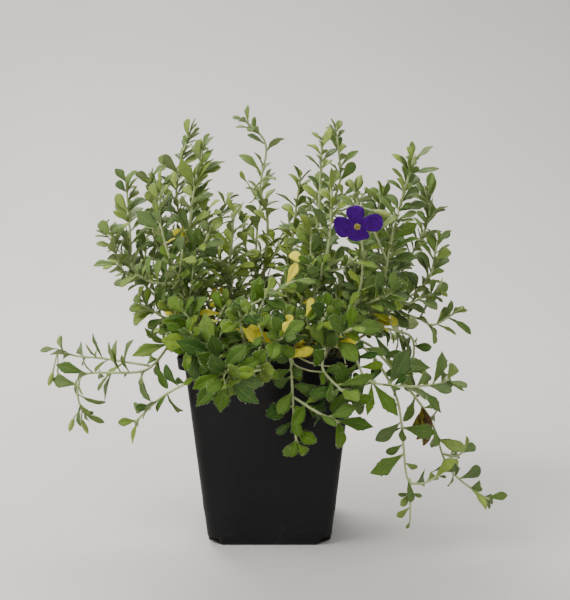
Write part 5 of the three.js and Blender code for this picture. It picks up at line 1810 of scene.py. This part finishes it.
def make_crumbs(settings):
    """Loose crumbs, bark fibres and pale grains lying on the soil."""
    draw = np.random.RandomState(CRUMB_SEED)
    pile = Pile()
    for _ in range(settings.crumbs):
        x, y = draw.uniform(-CRUMB_REACH, CRUMB_REACH, 2)
        z = soil_height(x, y)
        fibre = draw.rand() < FIBRE_SHARE
        pale = draw.rand() < PALE_SHARE
        big = draw.uniform(0.35, 1.1) * (0.8 if pale else 1)
        turned = draw.uniform(0, 2 * np.pi)
        way = np.array([math.cos(turned), math.sin(turned), draw.uniform(-0.25, 0.25)])
        half = big * (draw.uniform(2.5, 5.5) if fibre else draw.uniform(0.9, 1.4))
        thick = 0.22 if fibre else big * 0.75
        middle = np.array([x, y, z + thick * 0.25])
        tone = 1.0 if pale else draw.uniform(0.3, 0.9) if fibre else draw.uniform(0, 0.55)
        profile = [(s, r * thick * draw.uniform(0.75, 1.2)) for s, r in CRUMB]
        ends = (middle - way * half, middle + way * half)
        put_spindle(pile, *ends, profile, 6, (tone, 0, 0, 0))
    piece = pile.make("soil_crumbs", [crumb_material(settings)])
    return seat(piece, "potting_soil")


def soft_light(name, place, aim, power, wide, tall, colour):
    """A large area light at a place, turned to a point."""
    light = bpy.data.lights.new(name, "AREA")
    light.shape, light.size, light.size_y = "RECTANGLE", wide, tall
    light.energy, light.color = power, colour
    piece = linked(name, light)
    piece.location = place
    piece.rotation_euler = (Vector(aim) - Vector(place)).to_track_quat("-Z", "Y").to_euler()


def make_stage(settings):
    """A pale floor that rises at the back, soft light from the upper left, and the camera."""
    mesh = bpy.data.meshes.new("pale_ground")
    bm = bmesh.new()
    line = [(FLOOR_FRONT, 0.0), (FLOOR_BACK, 0.0)]
    line += [(FLOOR_BACK + FLOOR_BEND * math.sin(a), FLOOR_BEND - FLOOR_BEND * math.cos(a))
             for a in np.linspace(0.1, math.pi / 2, 14)]
    line += [(FLOOR_BACK + FLOOR_BEND, FLOOR_TOP)]
    rows = [[bm.verts.new((x, y, z)) for x in (-FLOOR_HALF, FLOOR_HALF)] for y, z in line]
    for a, b in zip(rows, rows[1:]):
        bm.faces.new((a[0], a[1], b[1], b[0]))
    bm.to_mesh(mesh)
    bm.free()
    finish(mesh, stage_material("pale_ground", tuple(settings.ground_colour)))
    ground = linked("pale_ground", mesh)
    ground.location = (0, 0, FLOOR_HEIGHT)
    for name, place, aim, share, wide, tall, colour in LIGHTS:
        soft_light(name, place, aim, settings.light_power * share, wide, tall, colour)
    world = bpy.data.worlds.new("pale_room")
    world.use_nodes = True
    room = world.node_tree.nodes["Background"].inputs
    room["Color"].default_value = ROOM_COLOUR
    room["Strength"].default_value = settings.room_light
    bpy.context.scene.world = world
    camera = bpy.data.cameras.new("photo_view")
    camera.lens, camera.sensor_width = CAMERA_LENS, 36
    camera.clip_start = 0.01
    view = linked("photo_view", camera)
    view.location = CAMERA_AT
    view.rotation_euler = (math.radians(90 - CAMERA_DOWN), 0, 0)
    bpy.context.scene.camera = view


def colour_setting(name, about, default):
    """A colour that a user can change."""
    return FloatVectorProperty(
        name=name, description=about, default=default, size=3, min=0, max=1, subtype="COLOR",
    )


def number_setting(name, about, default, low, high):
    """A number that a user can change: whole where its limits are whole numbers."""
    kind = IntProperty if isinstance(low, int) else FloatProperty
    return kind(name=name, description=about, default=default, min=low, max=high)


class AubrietaShootSettings(bpy.types.PropertyGroup):
    """Leaves and stems."""

    leaf_green: colour_setting("Leaf green", "Middle green of the leaves", (0.078, 0.166, 0.006))
    dark_green: colour_setting("Shaded green", "Green of the darkest leaves", (0.0135, 0.06, 0.005))
    light_green: colour_setting("Young green", "Green of the youngest leaves", (0.32, 0.44, 0.032))
    pale_green: colour_setting("Vein green", "Midribs, rims and undersides", (0.50, 0.57, 0.26))
    aged_yellow: colour_setting("Aged yellow", "Leaves about to fall", (0.78, 0.69, 0.05))
    withered_brown: colour_setting("Withered brown", "Dried bits", (0.11, 0.062, 0.025))
    down_grey: colour_setting("Down", "Fine down on the blades", (0.33, 0.37, 0.19))
    stem_green: colour_setting("Stem green", "Young stems", (0.41, 0.47, 0.21))
    small_leaf_step: number_setting(
        "Small leaf step", "Distance between small leaves on a stem, in millimetres", 3.6, 2.0, 20.0
    )
    small_leaves: number_setting("Small leaves", "1 grows them, 0 doesn't", 1, 0, 1)
    twigs: number_setting("Twigs", "Most short twigs on a stem", 3, 0, 6)
    hairs: number_setting("Hairs", "1 grows them, 0 doesn't", 1, 0, 1)


class AubrietaFlowerSettings(bpy.types.PropertyGroup):
    """Petals and eye."""

    petal_violet: colour_setting("Petal violet", "Lit part of a petal", (0.075, 0.001, 0.24))
    petal_shade: colour_setting("Petal shade", "Darker mottling of a petal", (0.046, 0.0008, 0.15))
    eye_yellow: colour_setting("Eye yellow", "Anthers", (0.42, 0.34, 0.06))
    petal_size: number_setting("Petal size", "Scale of the petals", 1.0, 0.6, 1.02)


class AubrietaSoilSettings(bpy.types.PropertyGroup):
    """Potting soil."""

    soil_brown: colour_setting("Soil brown", "Moist peat", (0.045, 0.026, 0.014))
    crumbs: number_setting("Crumbs", "How many crumbs and fibres lie on top", 900, 0, 3000)


class AubrietaPotSettings(bpy.types.PropertyGroup):
    """Nursery pot."""

    pot_black: colour_setting("Pot black", "Moulded plastic", (0.0028, 0.0028, 0.0034))


class AubrietaStageSettings(bpy.types.PropertyGroup):
    """Ground and light."""

    ground_colour: colour_setting("Ground", "Floor and backdrop", (0.605, 0.58, 0.552))
    light_power: number_setting("Light", "Main light's power in watts", 20.5, 0.0, 500.0)
    room_light: number_setting("Room light", "Strength of the light all round", 0.5, 0.0, 10.0)


class AUBRIETA_OT_pot(bpy.types.Operator):
    """Make the square nursery pot."""

    bl_idname = "aubrieta.pot"
    bl_label = "Make pot"

    def execute(self, context):
        make_pot(context.scene.aubrieta_pot)
        return {"FINISHED"}


class AUBRIETA_OT_soil(bpy.types.Operator):
    """Make the potting soil and the loose crumbs on it."""

    bl_idname = "aubrieta.soil"
    bl_label = "Make soil"

    def execute(self, context):
        make_soil(context.scene.aubrieta_soil)
        make_crumbs(context.scene.aubrieta_soil)
        return {"FINISHED"}


class AUBRIETA_OT_shoots(bpy.types.Operator):
    """Grow every leafy shoot, with its side shoots, leaves, hairs and buds."""

    bl_idname = "aubrieta.shoots"
    bl_label = "Grow shoots"

    def execute(self, context):
        settings = context.scene.aubrieta_shoots
        materials = [leaf_material(settings), stem_material(settings), hair_material()]
        plants, crowd = grow_plant()
        draw = np.random.RandomState(TWIG_SEED)
        for plant in plants:
            plant.twigs = grow_twigs(plant, crowd, draw, settings.twigs)
        for plant in plants:
            make_shoot(plant, crowd, materials, settings)
        return {"FINISHED"}


class AUBRIETA_OT_flower(bpy.types.Operator):
    """Make the violet petals and the yellow eye."""

    bl_idname = "aubrieta.flower"
    bl_label = "Make flower"

    def execute(self, context):
        make_petals(context.scene.aubrieta_flower)
        make_eye(context.scene.aubrieta_flower)
        return {"FINISHED"}


class AUBRIETA_OT_stage(bpy.types.Operator):
    """Set the ground, the light and the camera."""

    bl_idname = "aubrieta.stage"
    bl_label = "Set stage"

    def execute(self, context):
        make_stage(context.scene.aubrieta_stage)
        return {"FINISHED"}


class AUBRIETA_PT_panel(bpy.types.Panel):
    """The pieces of the plant and their settings."""

    bl_label = "Aubrieta"
    bl_idname = "AUBRIETA_PT_panel"
    bl_space_type = "VIEW_3D"
    bl_region_type = "UI"
    bl_category = "Aubrieta"

    def draw(self, context):
        for name, (operator, settings) in GROUPS.items():
            box = self.layout.box()
            box.operator(operator.bl_idname)
            values = getattr(context.scene, "aubrieta_" + name)
            for key in settings.__annotations__:
                box.prop(values, key)


GROUPS = {
    "stage": (AUBRIETA_OT_stage, AubrietaStageSettings),
    "pot": (AUBRIETA_OT_pot, AubrietaPotSettings),
    "soil": (AUBRIETA_OT_soil, AubrietaSoilSettings),
    "shoots": (AUBRIETA_OT_shoots, AubrietaShootSettings),
    "flower": (AUBRIETA_OT_flower, AubrietaFlowerSettings),
}


def register():
    """Registers the settings, the operators and the panel."""
    for name, (operator, settings) in GROUPS.items():
        bpy.utils.register_class(settings)
        bpy.utils.register_class(operator)
        setattr(bpy.types.Scene, "aubrieta_" + name, PointerProperty(type=settings))
    bpy.utils.register_class(AUBRIETA_PT_panel)


def unregister():
    """Removes the panel, the operators and the settings."""
    bpy.utils.unregister_class(AUBRIETA_PT_panel)
    for name, (operator, settings) in reversed(GROUPS.items()):
        delattr(bpy.types.Scene, "aubrieta_" + name)
        bpy.utils.unregister_class(operator)
        bpy.utils.unregister_class(settings)


def write_sizes():
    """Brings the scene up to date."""
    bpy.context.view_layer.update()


def main():
    """Makes every piece in turn."""
    register()
    bpy.ops.aubrieta.stage()
    bpy.ops.aubrieta.pot()
    bpy.ops.aubrieta.soil()
    bpy.ops.aubrieta.shoots()
    bpy.ops.aubrieta.flower()
    write_sizes()


if __name__ == "__main__":
    main()
